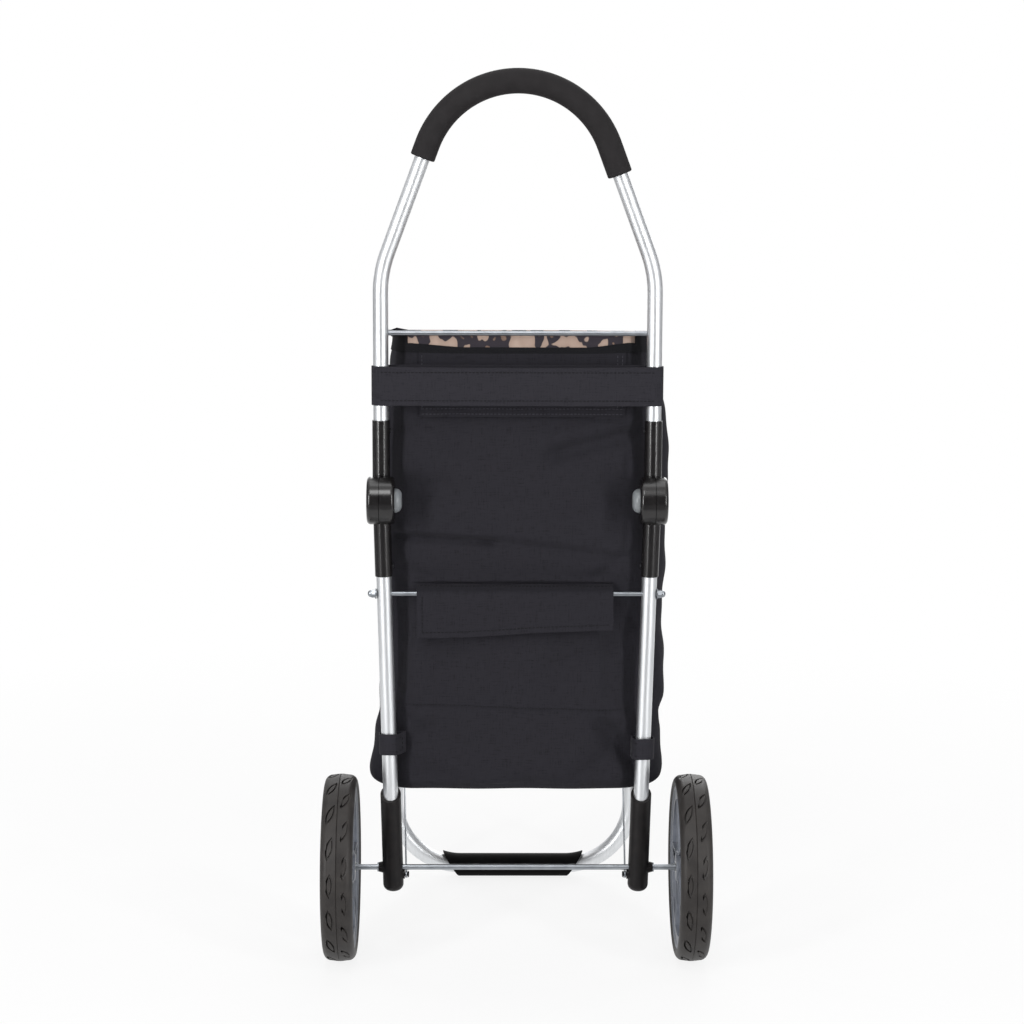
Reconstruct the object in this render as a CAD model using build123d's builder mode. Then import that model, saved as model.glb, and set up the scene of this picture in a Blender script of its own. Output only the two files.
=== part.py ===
from build123d import *
from math import cos, hypot, pi, radians, sin, tan
import os

os.makedirs("parts", exist_ok=True)

# Folding shopping trolley with a fabric bag, in millimetres.
# It is seen from behind with +X to the right, +Y to the front and +Z up.
# The origin is on the floor, under the middle of the space that the trolley takes up.

# Overall sizes
OVERALL_DEPTH = 400
HANDLE_HEIGHT = 948
KNUCKLE_HEIGHT = 502
HALF_GAUGE = 142.5  # from the middle plane to the axis of an upper tube
TRACK = 376  # between the middles of the two tyres

# Clearances
SEAT = 0.1  # around a piece that is fixed in a socket
RUN = 0.05  # around a shaft that turns in a bore
FREE = 0.5  # between pieces that pass each other
SOFT_GAP = 0.3  # between fabric and what it lies on

# Tubes and handle
TUBE_DIA = 16
TUBE_WALL = 1.5
LEG_TOE = 1.47  # degrees that each lower tube leans inwards going down
FLARE = 20.45  # degrees between the sides of the handle loop and the vertical
ARCH_RADIUS = 100
HANDLE_BEND_RADIUS = 120
GRIP_DIA = 26
GRIP_END_LEFT = 28  # length of the foam past the end of the arch
GRIP_END_RIGHT = 33
GRIP_ROUND = 3

# Folding knuckles
KNUCKLE_DIA = 50
KNUCKLE_INSET = 14.6  # from the tube axis to the inner face
INNER_HALF_WIDTH = 16
OUTER_HALF_WIDTH = 12.6
KNUCKLE_ROUND = 4
HINGE_BACK = 14  # how far the hinge axis lies behind the tubes
SOCKET_WALL = 1.2
SOCKET_REACH = 83  # from the hinge axis to the mouth of a tube socket
SOCKET_FLOOR = 4  # solid plastic between the knuckle and the end of a tube
SOCKET_RIM_ROUND = 0.6
HINGE_PIN_DIA = 8
PIN_HEAD_DIA = 15
PIN_HEAD = 2.5
PIN_TAIL_DIA = 11
PIN_TAIL = 1.5

# Push-buttons
BUTTON_DIA = 25.4
BUTTON_PROUD = 7.2
BUTTON_SKIRT = 3.2
BUTTON_POCKET = 11.4
BUTTON_ROUND = 6.8
BUTTON_RECESS = 2
SPRING_WIRE = 0.9
SPRING_DIA = 17
SPRING_TURNS = 3

# Rods and small fasteners
ROD_DIA = 5
ROD_NECK_DIA = 3.5
ROD_NECK = 5
MID_ROD_DROP = 19  # below the mouths of the lower sockets
WASHER_DIA = 11
WASHER_THICKNESS = 1
CAP_NUT_DIA = 9
CAP_NUT_LENGTH = 8
NUT_DOME_DIA = 7.4
NUT_DOME_ROUND = 3.2
RIVET_DIA = 3.2
RIVET_HEAD_DIA = 6
RIVET_HEAD = 1.4
HEAD_TOP = 0.67  # top of a tapered head, as a part of its width
SOCKET_RIVET_INSET = 11  # from the mouth of a socket

# Boots, axle and wheels
WHEEL_DIA = 200
AXLE_DIA = 6
BOOT_WALL = 2.9
BOOT_DROP = 26  # below the axle
BOOT_REAR_RISE = 74  # above the axle
BOOT_FRONT_RISE = 88
BOOT_ROUND = 8
BOOT_TUBE_STOP = 14  # above the axle
BOSS_DIA = 18
BOSS_TIP_DIA = 10
BOSS_REACH = 147.5  # from the middle plane
RETAINER_DIA = 10
RETAINER_THICKNESS = 1.2
COLLAR_DIA = 9
COLLAR_THICKNESS = 1.5
TYRE_WIDTH = 34
TYRE_THICKNESS = 13
BEAD_WIDTH = 30
SHOULDER_ROUND = 8
CROWN = 1
PARTING_WIDTH = 1.2
PARTING_DEPTH = 0.6
LEAF_COUNT = 16
LEAF_LENGTH = 26
LEAF_WIDTH = 8
LEAF_TILT = 24  # degrees from the rolling direction
LEAF_OFFSET = 7.6  # from the parting line
LEAF_DEPTH = 2.8
LEAF_GROOVE = 2  # width of the groove round the raised middle of a leaf
LEAF_STAGGER = 0.25  # shift of each row round the tyre, in leaf spacings
RIM_WALL = 5
RIM_WEB = 8
SPOKE_COUNT = 5
SPOKE_INNER_REACH = 13.5  # from the middle of the tyre towards the trolley
SPOKE_HUB_HALF = 9
SPOKE_RIM_HALF = 5.5
SPOKE_RIB = 2.5
SPOKE_POCKET = 6
HUB_DIA = 30
HUB_INNER_REACH = 15.5
HUB_OUTER_REACH = 9
HUB_ROUND = 1.5
BUSH_DIA = 12
AXLE_CAP_DIA = 18
AXLE_CAP_LENGTH = 6
AXLE_CAP_WALL = 1.5
AXLE_CAP_ROUND = 3.6

# Front stand and its stays
STAND_DIA = 19
STAND_WALL = 1.6
STAND_HALF = 140  # from the middle plane to an upright of the stand
STAND_RISE = 69  # arms above the axle
STAND_SHOULDER_RADIUS = 42
STAND_CORNER_RADIUS = 78
STAND_COLLAR = 18  # from the axis of the lower tube to the end of the stand
STAND_COLLAR_DIA = 20.6
STAND_SPIGOT = 26
STAND_RIVET_DIA = 4
PAD_DIA = 27
PAD_FLAT = 0.6
PAD_TOP_HALF = 81
PAD_BOTTOM_HALF = 64
NUB_DIA = 10
NUB_STEP = 1.6  # from the side of the boot to the face of the nub
NUB_DROP = 8  # below the axle
STAY_DIA = 2
STAY_PIN_DIA = 4
STAY_HEAD_DIA = 8
STAY_HEAD = 1.6
STAY_TURN = 45  # degrees up the bend of the stand to the rivet of the stay

# Bag
BAG_BACK_GAP = 1  # between the back of the bag and the frame
STRAP_RISE = 16  # above the mouths of the upper sockets
STRAP_WIDTH = 41
STRAP_THICKNESS = 1.8
HEM_RISE = 15  # front edge of the bag above the strap
MOUTH_RISE = 20  # back edge of the bag above its front edge
UPPER_ROD_RISE = 19  # rod above the front edge of the bag
BAG_TOP_WIDTH = 270
BAG_WAIST_WIDTH = 308
BAG_BASE_WIDTH = 300
BAG_TOP_DEPTH = 200
BAG_WAIST_DEPTH = 212
BAG_BASE_DEPTH = 204
BAG_CORNER = 26
BAG_WALL = 2
BAG_BASE_ROUND = 18
BOARD_INSET = 14
BOARD_THICKNESS = 3
LID_THICKNESS = 2.5
LID_OVERHANG = 3
LID_DROP = 90
LID_GAP = 3.5
LID_FLARE = 1.8  # slope of the drop, against the slope from the bag edge to the waist
FLAP_LEFT = 105
FLAP_RIGHT = 103
FLAP_THICKNESS = 1.6
FLAP_DROP = 42
TUBE_STRAP_RISE = 43  # above the bottom of the bag
TUBE_STRAP_WIDTH = 23
TUBE_STRAP_INNER = 117.5  # from the middle plane to its sewn end

# Places that follow from the sizes above
SIDES = {"left": -1, "right": 1}
AXLE_HEIGHT = WHEEL_DIA / 2
FRAME_Y = WHEEL_DIA / 2 - OVERALL_DEPTH / 2
HINGE_Y = FRAME_Y - HINGE_BACK
TUBE_RADIUS = TUBE_DIA / 2
SOCKET_RADIUS = TUBE_RADIUS + SEAT + SOCKET_WALL
BOOT_RADIUS = TUBE_RADIUS + SEAT + BOOT_WALL
KNUCKLE_RADIUS = KNUCKLE_DIA / 2
KNUCKLE_INNER_X = HALF_GAUGE - KNUCKLE_INSET
SPLIT_X = KNUCKLE_INNER_X + INNER_HALF_WIDTH
OUTER_HALF_X = SPLIT_X + FREE
KNUCKLE_OUTER_X = OUTER_HALF_X + OUTER_HALF_WIDTH
TUBE_END = KNUCKLE_RADIUS + FREE + SOCKET_FLOOR
STRAP_BOTTOM = KNUCKLE_HEIGHT + SOCKET_REACH + STRAP_RISE
BAG_TOP = STRAP_BOTTOM + STRAP_WIDTH + HEM_RISE
UPPER_ROD_HEIGHT = BAG_TOP + UPPER_ROD_RISE
MID_ROD_HEIGHT = KNUCKLE_HEIGHT - SOCKET_REACH - MID_ROD_DROP
STAND_HEIGHT = AXLE_HEIGHT + STAND_RISE
STAND_Y = OVERALL_DEPTH / 2 - PAD_DIA / 2
BAR_HEIGHT = PAD_DIA / 2 - PAD_FLAT
BAG_BOTTOM = STAND_HEIGHT + STAND_DIA / 2 + FREE
FRAME_FRONT = max(KNUCKLE_RADIUS - HINGE_BACK, BOOT_RADIUS, SOCKET_RADIUS)
BAG_BACK_Y = FRAME_Y + FRAME_FRONT + BAG_BACK_GAP
BAG_WAIST = (BAG_TOP + BAG_BOTTOM) / 2
MOUTH_TOP = BAG_TOP + MOUTH_RISE
NUB_HEIGHT = AXLE_HEIGHT - NUB_DROP
ARCH_TOP = HANDLE_HEIGHT - GRIP_DIA / 2
ARCH_CENTRE = ARCH_TOP - ARCH_RADIUS
APEX = ARCH_TOP + ARCH_RADIUS * (1 / sin(radians(FLARE)) - 1)
SHOULDER = APEX - HALF_GAUGE / tan(radians(FLARE))
FRAME_PLANE = Plane(origin=(0, FRAME_Y, 0), x_dir=(1, 0, 0), z_dir=(0, -1, 0))
AXLE_LINE = Axis((0, FRAME_Y, AXLE_HEIGHT), (1, 0, 0))


def save(builder, name):
    builder.part.label = name
    export_step(builder.part, f"parts/{name}.step")


def outward(side, x, y, z):
    """Plane that faces away from the middle of the trolley, x from the middle plane."""
    return Plane(origin=(side * x, y, z), x_dir=(0, 1, 0), z_dir=(side, 0, 0))


def leg_x(height):
    """Distance from the middle plane to the axis of a lower tube."""
    return HALF_GAUGE - (KNUCKLE_HEIGHT - height) * tan(radians(LEG_TOE))


def leg_plane(side, height):
    """Plane square to a lower tube, where the tube's axis reaches this height."""
    toe = radians(LEG_TOE)
    return Plane(
        origin=(side * leg_x(height), FRAME_Y, height),
        x_dir=(cos(toe), 0, -side * sin(toe)),
        z_dir=(side * sin(toe), 0, cos(toe)),
    )


def across_leg(side, height, distance):
    """Plane that faces outwards, square across a lower tube, this far from its axis."""
    leg = leg_plane(side, height)
    out = leg.x_dir * side
    return Plane(origin=leg.origin + out * distance, x_dir=(0, 1, 0), z_dir=out)


def arm_plane(side, distance):
    """Plane square to an arm of the front stand, at a distance from the lower tube's axis."""
    spread = STAND_HALF - leg_x(STAND_HEIGHT)
    reach = STAND_Y - FRAME_Y
    length = hypot(spread, reach)
    along = (side * spread / length, reach / length, 0)
    origin = (
        side * leg_x(STAND_HEIGHT) + along[0] * distance,
        FRAME_Y + along[1] * distance,
        STAND_HEIGHT,
    )
    return Plane(origin=origin, x_dir=(along[1], -along[0], 0), z_dir=along)


def rod(plane, diameter, length, mode=Mode.ADD):
    """Round bar or hole along the normal of a plane, in the part that is being built."""
    with Locations(plane):
        Cylinder(diameter / 2, length, align=(Align.CENTER, Align.CENTER, Align.MIN), mode=mode)


# Handle tube: one bent tube, from one upper socket over the arch to the other
def slanted_point(side, past):
    """Point of the handle loop's slanting side, this far past the end of the arch."""
    flare = radians(FLARE)
    return (
        side * (ARCH_RADIUS * cos(flare) + past * sin(flare)),
        ARCH_CENTRE + ARCH_RADIUS * sin(flare) - past * cos(flare),
    )


with BuildPart() as handle_tube:
    with BuildLine(FRAME_PLANE):
        handle_path = FilletPolyline(
            (-HALF_GAUGE, KNUCKLE_HEIGHT + TUBE_END),
            (-HALF_GAUGE, SHOULDER),
            (0, APEX),
            (HALF_GAUGE, SHOULDER),
            (HALF_GAUGE, KNUCKLE_HEIGHT + TUBE_END),
            radius=(HANDLE_BEND_RADIUS, ARCH_RADIUS, HANDLE_BEND_RADIUS),
        )
    with BuildSketch(Plane(origin=handle_path @ 0, z_dir=handle_path % 0)):
        Circle(TUBE_RADIUS)
        Circle(TUBE_RADIUS - TUBE_WALL, mode=Mode.SUBTRACT)
    sweep(path=handle_path)
    for side in SIDES.values():
        rod_hole = outward(-side, -HALF_GAUGE, FRAME_Y, UPPER_ROD_HEIGHT)
        rod(rod_hole, ROD_NECK_DIA + 2 * SEAT, TUBE_DIA, Mode.SUBTRACT)
        rivet_height = KNUCKLE_HEIGHT + SOCKET_REACH - SOCKET_RIVET_INSET
        rivet_hole = outward(-side, -HALF_GAUGE, FRAME_Y, rivet_height)
        rod(rivet_hole, RIVET_DIA + 2 * SEAT, TUBE_DIA, Mode.SUBTRACT)
save(handle_tube, "handle_tube")

# Foam grip, slid over the arch
with BuildPart() as handle_grip:
    with BuildLine(FRAME_PLANE):
        grip_path = FilletPolyline(
            slanted_point(-1, GRIP_END_LEFT),
            (0, APEX),
            slanted_point(1, GRIP_END_RIGHT),
            radius=ARCH_RADIUS,
        )
    with BuildSketch(Plane(origin=grip_path @ 0, z_dir=grip_path % 0)):
        Circle(GRIP_DIA / 2)
        Circle(TUBE_RADIUS + SEAT, mode=Mode.SUBTRACT)
    sweep(path=grip_path)
    grip_rims = handle_grip.edges().filter_by(GeomType.CIRCLE)
    fillet(grip_rims.filter_by(lambda rim: abs(rim.radius - GRIP_DIA / 2) < SEAT), GRIP_ROUND)
save(handle_grip, "handle_grip")

# Upper cross rod, with a thinner neck at each end that goes into the handle tube
with BuildPart() as upper_cross_rod:
    rod_half = HALF_GAUGE - TUBE_RADIUS - SEAT
    rod(outward(1, -rod_half, FRAME_Y, UPPER_ROD_HEIGHT), ROD_DIA, 2 * rod_half)
    neck_half = rod_half + ROD_NECK
    rod(outward(1, -neck_half, FRAME_Y, UPPER_ROD_HEIGHT), ROD_NECK_DIA, 2 * neck_half)
save(upper_cross_rod, "upper_cross_rod")

# Upper knuckle halves: outer disc with the socket of the handle tube
for side_name, side in SIDES.items():
    with BuildPart() as hinge_upper:
        rod(outward(side, OUTER_HALF_X, HINGE_Y, KNUCKLE_HEIGHT), KNUCKLE_DIA, OUTER_HALF_WIDTH)
        outer_rim = hinge_upper.edges().sort_by(lambda edge: side * edge.center().X)[-1]
        fillet(outer_rim, KNUCKLE_ROUND)
        socket = Plane(origin=(side * HALF_GAUGE, FRAME_Y, KNUCKLE_HEIGHT))
        rod(socket, 2 * SOCKET_RADIUS, SOCKET_REACH)
        mouth = hinge_upper.faces().sort_by(Axis.Z)[-1]
        fillet(mouth.edges(), SOCKET_RIM_ROUND)
        other_half = outward(side, KNUCKLE_INNER_X - FREE, HINGE_Y, KNUCKLE_HEIGHT)
        rod(other_half, KNUCKLE_DIA + 2 * FREE, INNER_HALF_WIDTH + 2 * FREE, Mode.SUBTRACT)
        rod(socket.offset(TUBE_END), TUBE_DIA + 2 * SEAT, SOCKET_REACH, Mode.SUBTRACT)
        pin_bore = outward(side, SPLIT_X, HINGE_Y, KNUCKLE_HEIGHT)
        rod(pin_bore, HINGE_PIN_DIA + 2 * RUN, KNUCKLE_DIA, Mode.SUBTRACT)
        head_bore = outward(side, KNUCKLE_OUTER_X - PIN_HEAD - FREE, HINGE_Y, KNUCKLE_HEIGHT)
        rod(head_bore, PIN_HEAD_DIA + 2 * FREE, KNUCKLE_DIA, Mode.SUBTRACT)
        rivet_height = KNUCKLE_HEIGHT + SOCKET_REACH - SOCKET_RIVET_INSET
        rivet_hole = outward(-side, -HALF_GAUGE, FRAME_Y, rivet_height)
        rod(rivet_hole, RIVET_DIA + 2 * SEAT, TUBE_DIA, Mode.SUBTRACT)
    save(hinge_upper, f"hinge_upper_{side_name}")

# Lower knuckle halves: inner disc with the button pocket and the socket of the lower tube
LOWER_MOUTH = KNUCKLE_HEIGHT - SOCKET_REACH
for side_name, side in SIDES.items():
    with BuildPart() as hinge_lower:
        rod(outward(side, KNUCKLE_INNER_X, HINGE_Y, KNUCKLE_HEIGHT), KNUCKLE_DIA, INNER_HALF_WIDTH)
        inner_rim = hinge_lower.edges().sort_by(lambda edge: side * edge.center().X)[0]
        fillet(inner_rim, KNUCKLE_ROUND)
        mouth_plane = leg_plane(side, LOWER_MOUTH)
        rod(mouth_plane, 2 * SOCKET_RADIUS, SOCKET_REACH)
        mouth = hinge_lower.faces().sort_by(Axis.Z)[0]
        fillet(mouth.edges(), SOCKET_RIM_ROUND)
        other_half = outward(side, SPLIT_X, HINGE_Y, KNUCKLE_HEIGHT)
        rod(other_half, KNUCKLE_DIA + 2 * FREE, OUTER_HALF_WIDTH + 2 * FREE, Mode.SUBTRACT)
        rod(mouth_plane, TUBE_DIA + 2 * SEAT, SOCKET_REACH - TUBE_END, Mode.SUBTRACT)
        pocket = outward(side, KNUCKLE_INNER_X, HINGE_Y, KNUCKLE_HEIGHT)
        rod(pocket, BUTTON_DIA + 2 * FREE, BUTTON_POCKET, Mode.SUBTRACT)
        rod(pocket, HINGE_PIN_DIA + 2 * SEAT, INNER_HALF_WIDTH, Mode.SUBTRACT)
        rivet_height = LOWER_MOUTH + SOCKET_RIVET_INSET
        rivet_hole = across_leg(side, rivet_height, -TUBE_DIA)
        rod(rivet_hole, RIVET_DIA + 2 * SEAT, TUBE_DIA, Mode.SUBTRACT)
    save(hinge_lower, f"hinge_lower_{side_name}")

# Hinge pins: a flat head outside, a riveted tail in the button pocket
for side_name, side in SIDES.items():
    with BuildPart() as hinge_pin:
        pocket_floor = KNUCKLE_INNER_X + BUTTON_POCKET
        tail = outward(side, pocket_floor - PIN_TAIL, HINGE_Y, KNUCKLE_HEIGHT)
        rod(tail, PIN_TAIL_DIA, PIN_TAIL)
        rod(tail, HINGE_PIN_DIA, KNUCKLE_OUTER_X - pocket_floor + PIN_TAIL)
        head = outward(side, KNUCKLE_OUTER_X - PIN_HEAD, HINGE_Y, KNUCKLE_HEIGHT)
        rod(head, PIN_HEAD_DIA, PIN_HEAD)
        head_rim = hinge_pin.edges().sort_by(lambda edge: side * edge.center().X)[-1]
        fillet(head_rim, PIN_HEAD / 2)
    save(hinge_pin, f"hinge_pin_{side_name}")

# Push-buttons, each with a recess for its spring
for side_name, side in SIDES.items():
    with BuildPart() as hinge_button:
        top_x = KNUCKLE_INNER_X - BUTTON_PROUD
        rod(outward(side, top_x, HINGE_Y, KNUCKLE_HEIGHT), BUTTON_DIA, BUTTON_PROUD + BUTTON_SKIRT)
        top_rim = hinge_button.edges().sort_by(lambda edge: side * edge.center().X)[0]
        fillet(top_rim, BUTTON_ROUND)
        back_x = KNUCKLE_INNER_X + BUTTON_SKIRT
        recess = outward(side, back_x - BUTTON_RECESS, HINGE_Y, KNUCKLE_HEIGHT)
        rod(recess, SPRING_DIA + 2 * SPRING_WIRE, BUTTON_RECESS, Mode.SUBTRACT)
    save(hinge_button, f"hinge_button_{side_name}")

# Button springs, from the recess of the button to the floor of its pocket
SPRING_ROOM = BUTTON_POCKET - BUTTON_SKIRT + BUTTON_RECESS
SPRING_HEIGHT = SPRING_ROOM - SPRING_WIRE - 2 * SEAT
for side_name, side in SIDES.items():
    with BuildPart() as button_spring:
        spring_x = KNUCKLE_INNER_X + BUTTON_SKIRT - BUTTON_RECESS + SEAT + SPRING_WIRE / 2
        with BuildLine():
            coil = Helix(
                pitch=SPRING_HEIGHT / SPRING_TURNS,
                height=SPRING_HEIGHT,
                radius=SPRING_DIA / 2,
                center=(side * spring_x, HINGE_Y, KNUCKLE_HEIGHT),
                direction=(side, 0, 0),
            )
        with BuildSketch(Plane(origin=coil @ 0, z_dir=coil % 0)):
            Rectangle(SPRING_WIRE, SPRING_WIRE)
        sweep(path=coil, is_frenet=True)
    save(button_spring, f"button_spring_{side_name}")


def rivet(plane, shank_dia, shank, head_dia, head):
    """Rivet or pan-head screw: the shank along a plane's normal, the tapered head behind it."""
    rod(plane, shank_dia, shank)
    with Locations(Plane(origin=plane.origin, x_dir=plane.x_dir, z_dir=-plane.z_dir)):
        Cone(head_dia / 2, HEAD_TOP * head_dia / 2, head, align=(Align.CENTER, Align.CENTER, Align.MIN))


with BuildPart() as upper_socket_rivets:
    for side in SIDES.values():
        seat_x = HALF_GAUGE - SOCKET_RADIUS
        seat = outward(side, seat_x, FRAME_Y, KNUCKLE_HEIGHT + SOCKET_REACH - SOCKET_RIVET_INSET)
        rivet(seat, RIVET_DIA, SOCKET_WALL + 2 * TUBE_WALL, RIVET_HEAD_DIA, RIVET_HEAD)
save(upper_socket_rivets, "upper_socket_rivets")

with BuildPart() as lower_socket_rivets:
    for side in SIDES.values():
        rivet_height = LOWER_MOUTH + SOCKET_RIVET_INSET
        seat = across_leg(side, rivet_height, -SOCKET_RADIUS)
        rivet(seat, RIVET_DIA, SOCKET_WALL + 2 * TUBE_WALL, RIVET_HEAD_DIA, RIVET_HEAD)
save(lower_socket_rivets, "lower_socket_rivets")

# Lower tubes, from the boots to the knuckles
BOOT_TUBE_END = AXLE_HEIGHT + BOOT_TUBE_STOP
for side_name, side in SIDES.items():
    with BuildPart() as lower_tube:
        lean = cos(radians(LEG_TOE))
        mouth_to_boot = (LOWER_MOUTH - BOOT_TUBE_END) / lean
        foot = leg_plane(side, BOOT_TUBE_END)
        length = mouth_to_boot + SOCKET_REACH - TUBE_END
        rod(foot, TUBE_DIA, length)
        rod(foot, TUBE_DIA - 2 * TUBE_WALL, length, Mode.SUBTRACT)
        cross_hole = outward(side, leg_x(MID_ROD_HEIGHT) - TUBE_DIA, FRAME_Y, MID_ROD_HEIGHT)
        rod(cross_hole, ROD_DIA + 2 * SEAT, 2 * TUBE_DIA, Mode.SUBTRACT)
        rivet_height = LOWER_MOUTH + SOCKET_RIVET_INSET
        rivet_hole = across_leg(side, rivet_height, -TUBE_DIA)
        rod(rivet_hole, RIVET_DIA + 2 * SEAT, TUBE_DIA, Mode.SUBTRACT)
    save(lower_tube, f"lower_tube_{side_name}")

# Middle cross rod through both lower tubes, with a washer and a cap nut at each end
WASHER_X = leg_x(MID_ROD_HEIGHT) + TUBE_RADIUS + FREE
NUT_X = WASHER_X + WASHER_THICKNESS + SEAT
with BuildPart() as mid_cross_rod:
    rod_half = NUT_X + CAP_NUT_LENGTH / 2
    rod(outward(1, -rod_half, FRAME_Y, MID_ROD_HEIGHT), ROD_DIA, 2 * rod_half)
save(mid_cross_rod, "mid_cross_rod")

with BuildPart() as rod_washers:
    for side in SIDES.values():
        with BuildSketch(outward(side, WASHER_X, FRAME_Y, MID_ROD_HEIGHT)):
            Circle(WASHER_DIA / 2)
            Circle(ROD_DIA / 2 + SEAT, mode=Mode.SUBTRACT)
        extrude(amount=WASHER_THICKNESS)
save(rod_washers, "rod_washers")

with BuildPart() as rod_cap_nuts:
    for side in SIDES.values():
        with BuildSketch(outward(side, NUT_X, FRAME_Y, MID_ROD_HEIGHT)):
            RegularPolygon(CAP_NUT_DIA / 2, 6)
        extrude(amount=CAP_NUT_LENGTH / 2)
        dome = outward(side, NUT_X, FRAME_Y, MID_ROD_HEIGHT)
        rod(dome, NUT_DOME_DIA, CAP_NUT_LENGTH)
        tip = rod_cap_nuts.faces().sort_by(lambda face: side * face.center().X)[-1]
        fillet(tip.edges(), NUT_DOME_ROUND)
        rod(dome, ROD_DIA + 2 * SEAT, CAP_NUT_LENGTH / 2 + SEAT, Mode.SUBTRACT)
save(rod_cap_nuts, "rod_cap_nuts")

# Boots: tube socket, axle bosses, nub for the stay wire, and spigot for the front stand
NUB_REACH = leg_x(NUB_HEIGHT) - BOOT_RADIUS - NUB_STEP
for side_name, side in SIDES.items():
    with BuildPart() as boot:
        base = leg_plane(side, AXLE_HEIGHT - BOOT_DROP)
        rod(base, 2 * BOOT_RADIUS, BOOT_DROP + BOOT_FRONT_RISE + BOOT_RADIUS)
        sole = boot.faces().sort_by(Axis.Z)[0]
        fillet(sole.edges(), BOOT_ROUND)
        slope = BOOT_FRONT_RISE - BOOT_REAR_RISE
        rim = Plane(
            origin=(0, FRAME_Y, AXLE_HEIGHT + (BOOT_FRONT_RISE + BOOT_REAR_RISE) / 2),
            x_dir=(1, 0, 0),
            z_dir=(0, -slope, 2 * BOOT_RADIUS),
        )
        split(bisect_by=rim, keep=Keep.BOTTOM)
        boss_x = leg_x(AXLE_HEIGHT)
        with BuildSketch(outward(side, boss_x, FRAME_Y, AXLE_HEIGHT)):
            Circle(BOSS_DIA / 2)
        with BuildSketch(outward(side, BOSS_REACH, FRAME_Y, AXLE_HEIGHT)):
            Circle(BOSS_TIP_DIA / 2)
        loft()
        rod(outward(side, NUB_REACH, FRAME_Y, NUB_HEIGHT), NUB_DIA, boss_x - NUB_REACH)
        rod(arm_plane(side, 0), STAND_COLLAR_DIA, STAND_COLLAR)
        spigot_dia = STAND_DIA - 2 * STAND_WALL - 2 * SEAT
        rod(arm_plane(side, STAND_COLLAR), spigot_dia, STAND_SPIGOT)
        tube_seat = leg_plane(side, BOOT_TUBE_END)
        rod(tube_seat, TUBE_DIA + 2 * SEAT, BOOT_FRONT_RISE + BOOT_RADIUS, Mode.SUBTRACT)
        axle_bore = outward(side, NUB_REACH - NUB_DIA, FRAME_Y, AXLE_HEIGHT)
        rod(axle_bore, AXLE_DIA + 2 * SEAT, BOSS_REACH, Mode.SUBTRACT)
        screw_hole = outward(side, NUB_REACH, FRAME_Y, NUB_HEIGHT)
        rod(screw_hole, STAY_PIN_DIA + 2 * SEAT, NUB_DIA, Mode.SUBTRACT)
        rivet_spot = arm_plane(side, STAND_COLLAR + STAND_SPIGOT / 2).origin
        rivet_hole = Plane(origin=rivet_spot, x_dir=(0, 1, 0), z_dir=(side, 0, 0))
        rod(rivet_hole, STAND_RIVET_DIA + 2 * SEAT, STAND_DIA, Mode.SUBTRACT)
    save(boot, f"boot_{side_name}")

# Axle with a collar inside each wheel, its retaining rings and its end caps
HUB_INNER_X = TRACK / 2 - HUB_INNER_REACH
HUB_OUTER_X = TRACK / 2 + HUB_OUTER_REACH
CAP_X = HUB_OUTER_X + FREE
AXLE_HALF = CAP_X + AXLE_CAP_LENGTH - AXLE_CAP_WALL - SEAT
with BuildPart() as axle:
    rod(outward(1, -AXLE_HALF, FRAME_Y, AXLE_HEIGHT), AXLE_DIA, 2 * AXLE_HALF)
    for side in SIDES.values():
        collar_x = HUB_INNER_X - FREE - COLLAR_THICKNESS
        rod(outward(side, collar_x, FRAME_Y, AXLE_HEIGHT), COLLAR_DIA, COLLAR_THICKNESS)
save(axle, "axle")

with BuildPart() as axle_retainers:
    for side in SIDES.values():
        with BuildSketch(outward(side, BOSS_REACH + SEAT, FRAME_Y, AXLE_HEIGHT)):
            Circle(RETAINER_DIA / 2)
            Circle(AXLE_DIA / 2 + SEAT, mode=Mode.SUBTRACT)
        extrude(amount=RETAINER_THICKNESS)
save(axle_retainers, "axle_retainers")

for side_name, side in SIDES.items():
    with BuildPart() as axle_cap:
        seat = outward(side, CAP_X, FRAME_Y, AXLE_HEIGHT)
        rod(seat, AXLE_CAP_DIA, AXLE_CAP_LENGTH)
        crown_face = axle_cap.faces().sort_by(lambda face: side * face.center().X)[-1]
        fillet(crown_face.edges(), AXLE_CAP_ROUND)
        rod(seat, AXLE_DIA + 2 * SEAT, AXLE_CAP_LENGTH - AXLE_CAP_WALL, Mode.SUBTRACT)
    save(axle_cap, f"axle_cap_{side_name}")


# Wheels: tyre with two rows of leaf grooves, spoked wheel and bush
def wheel_section(side):
    """Half plane through a wheel: x away from the trolley, y up from the axle."""
    return Plane(
        origin=(side * TRACK / 2, FRAME_Y, AXLE_HEIGHT), x_dir=(side, 0, 0), z_dir=(0, -side, 0)
    )


def leaf_planes(side, row):
    """Planes on the tread, one for each leaf of a row."""
    planes = []
    for index in range(LEAF_COUNT):
        turn = 2 * pi * (index + row * LEAF_STAGGER) / LEAF_COUNT
        out = (0, -sin(turn), cos(turn))
        origin = (
            side * TRACK / 2 + row * LEAF_OFFSET,
            FRAME_Y + out[1] * WHEEL_DIA / 2,
            AXLE_HEIGHT + out[2] * WHEEL_DIA / 2,
        )
        planes.append(Plane(origin=origin, x_dir=(1, 0, 0), z_dir=out).rotated((0, 0, -LEAF_TILT)))
    return planes


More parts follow.
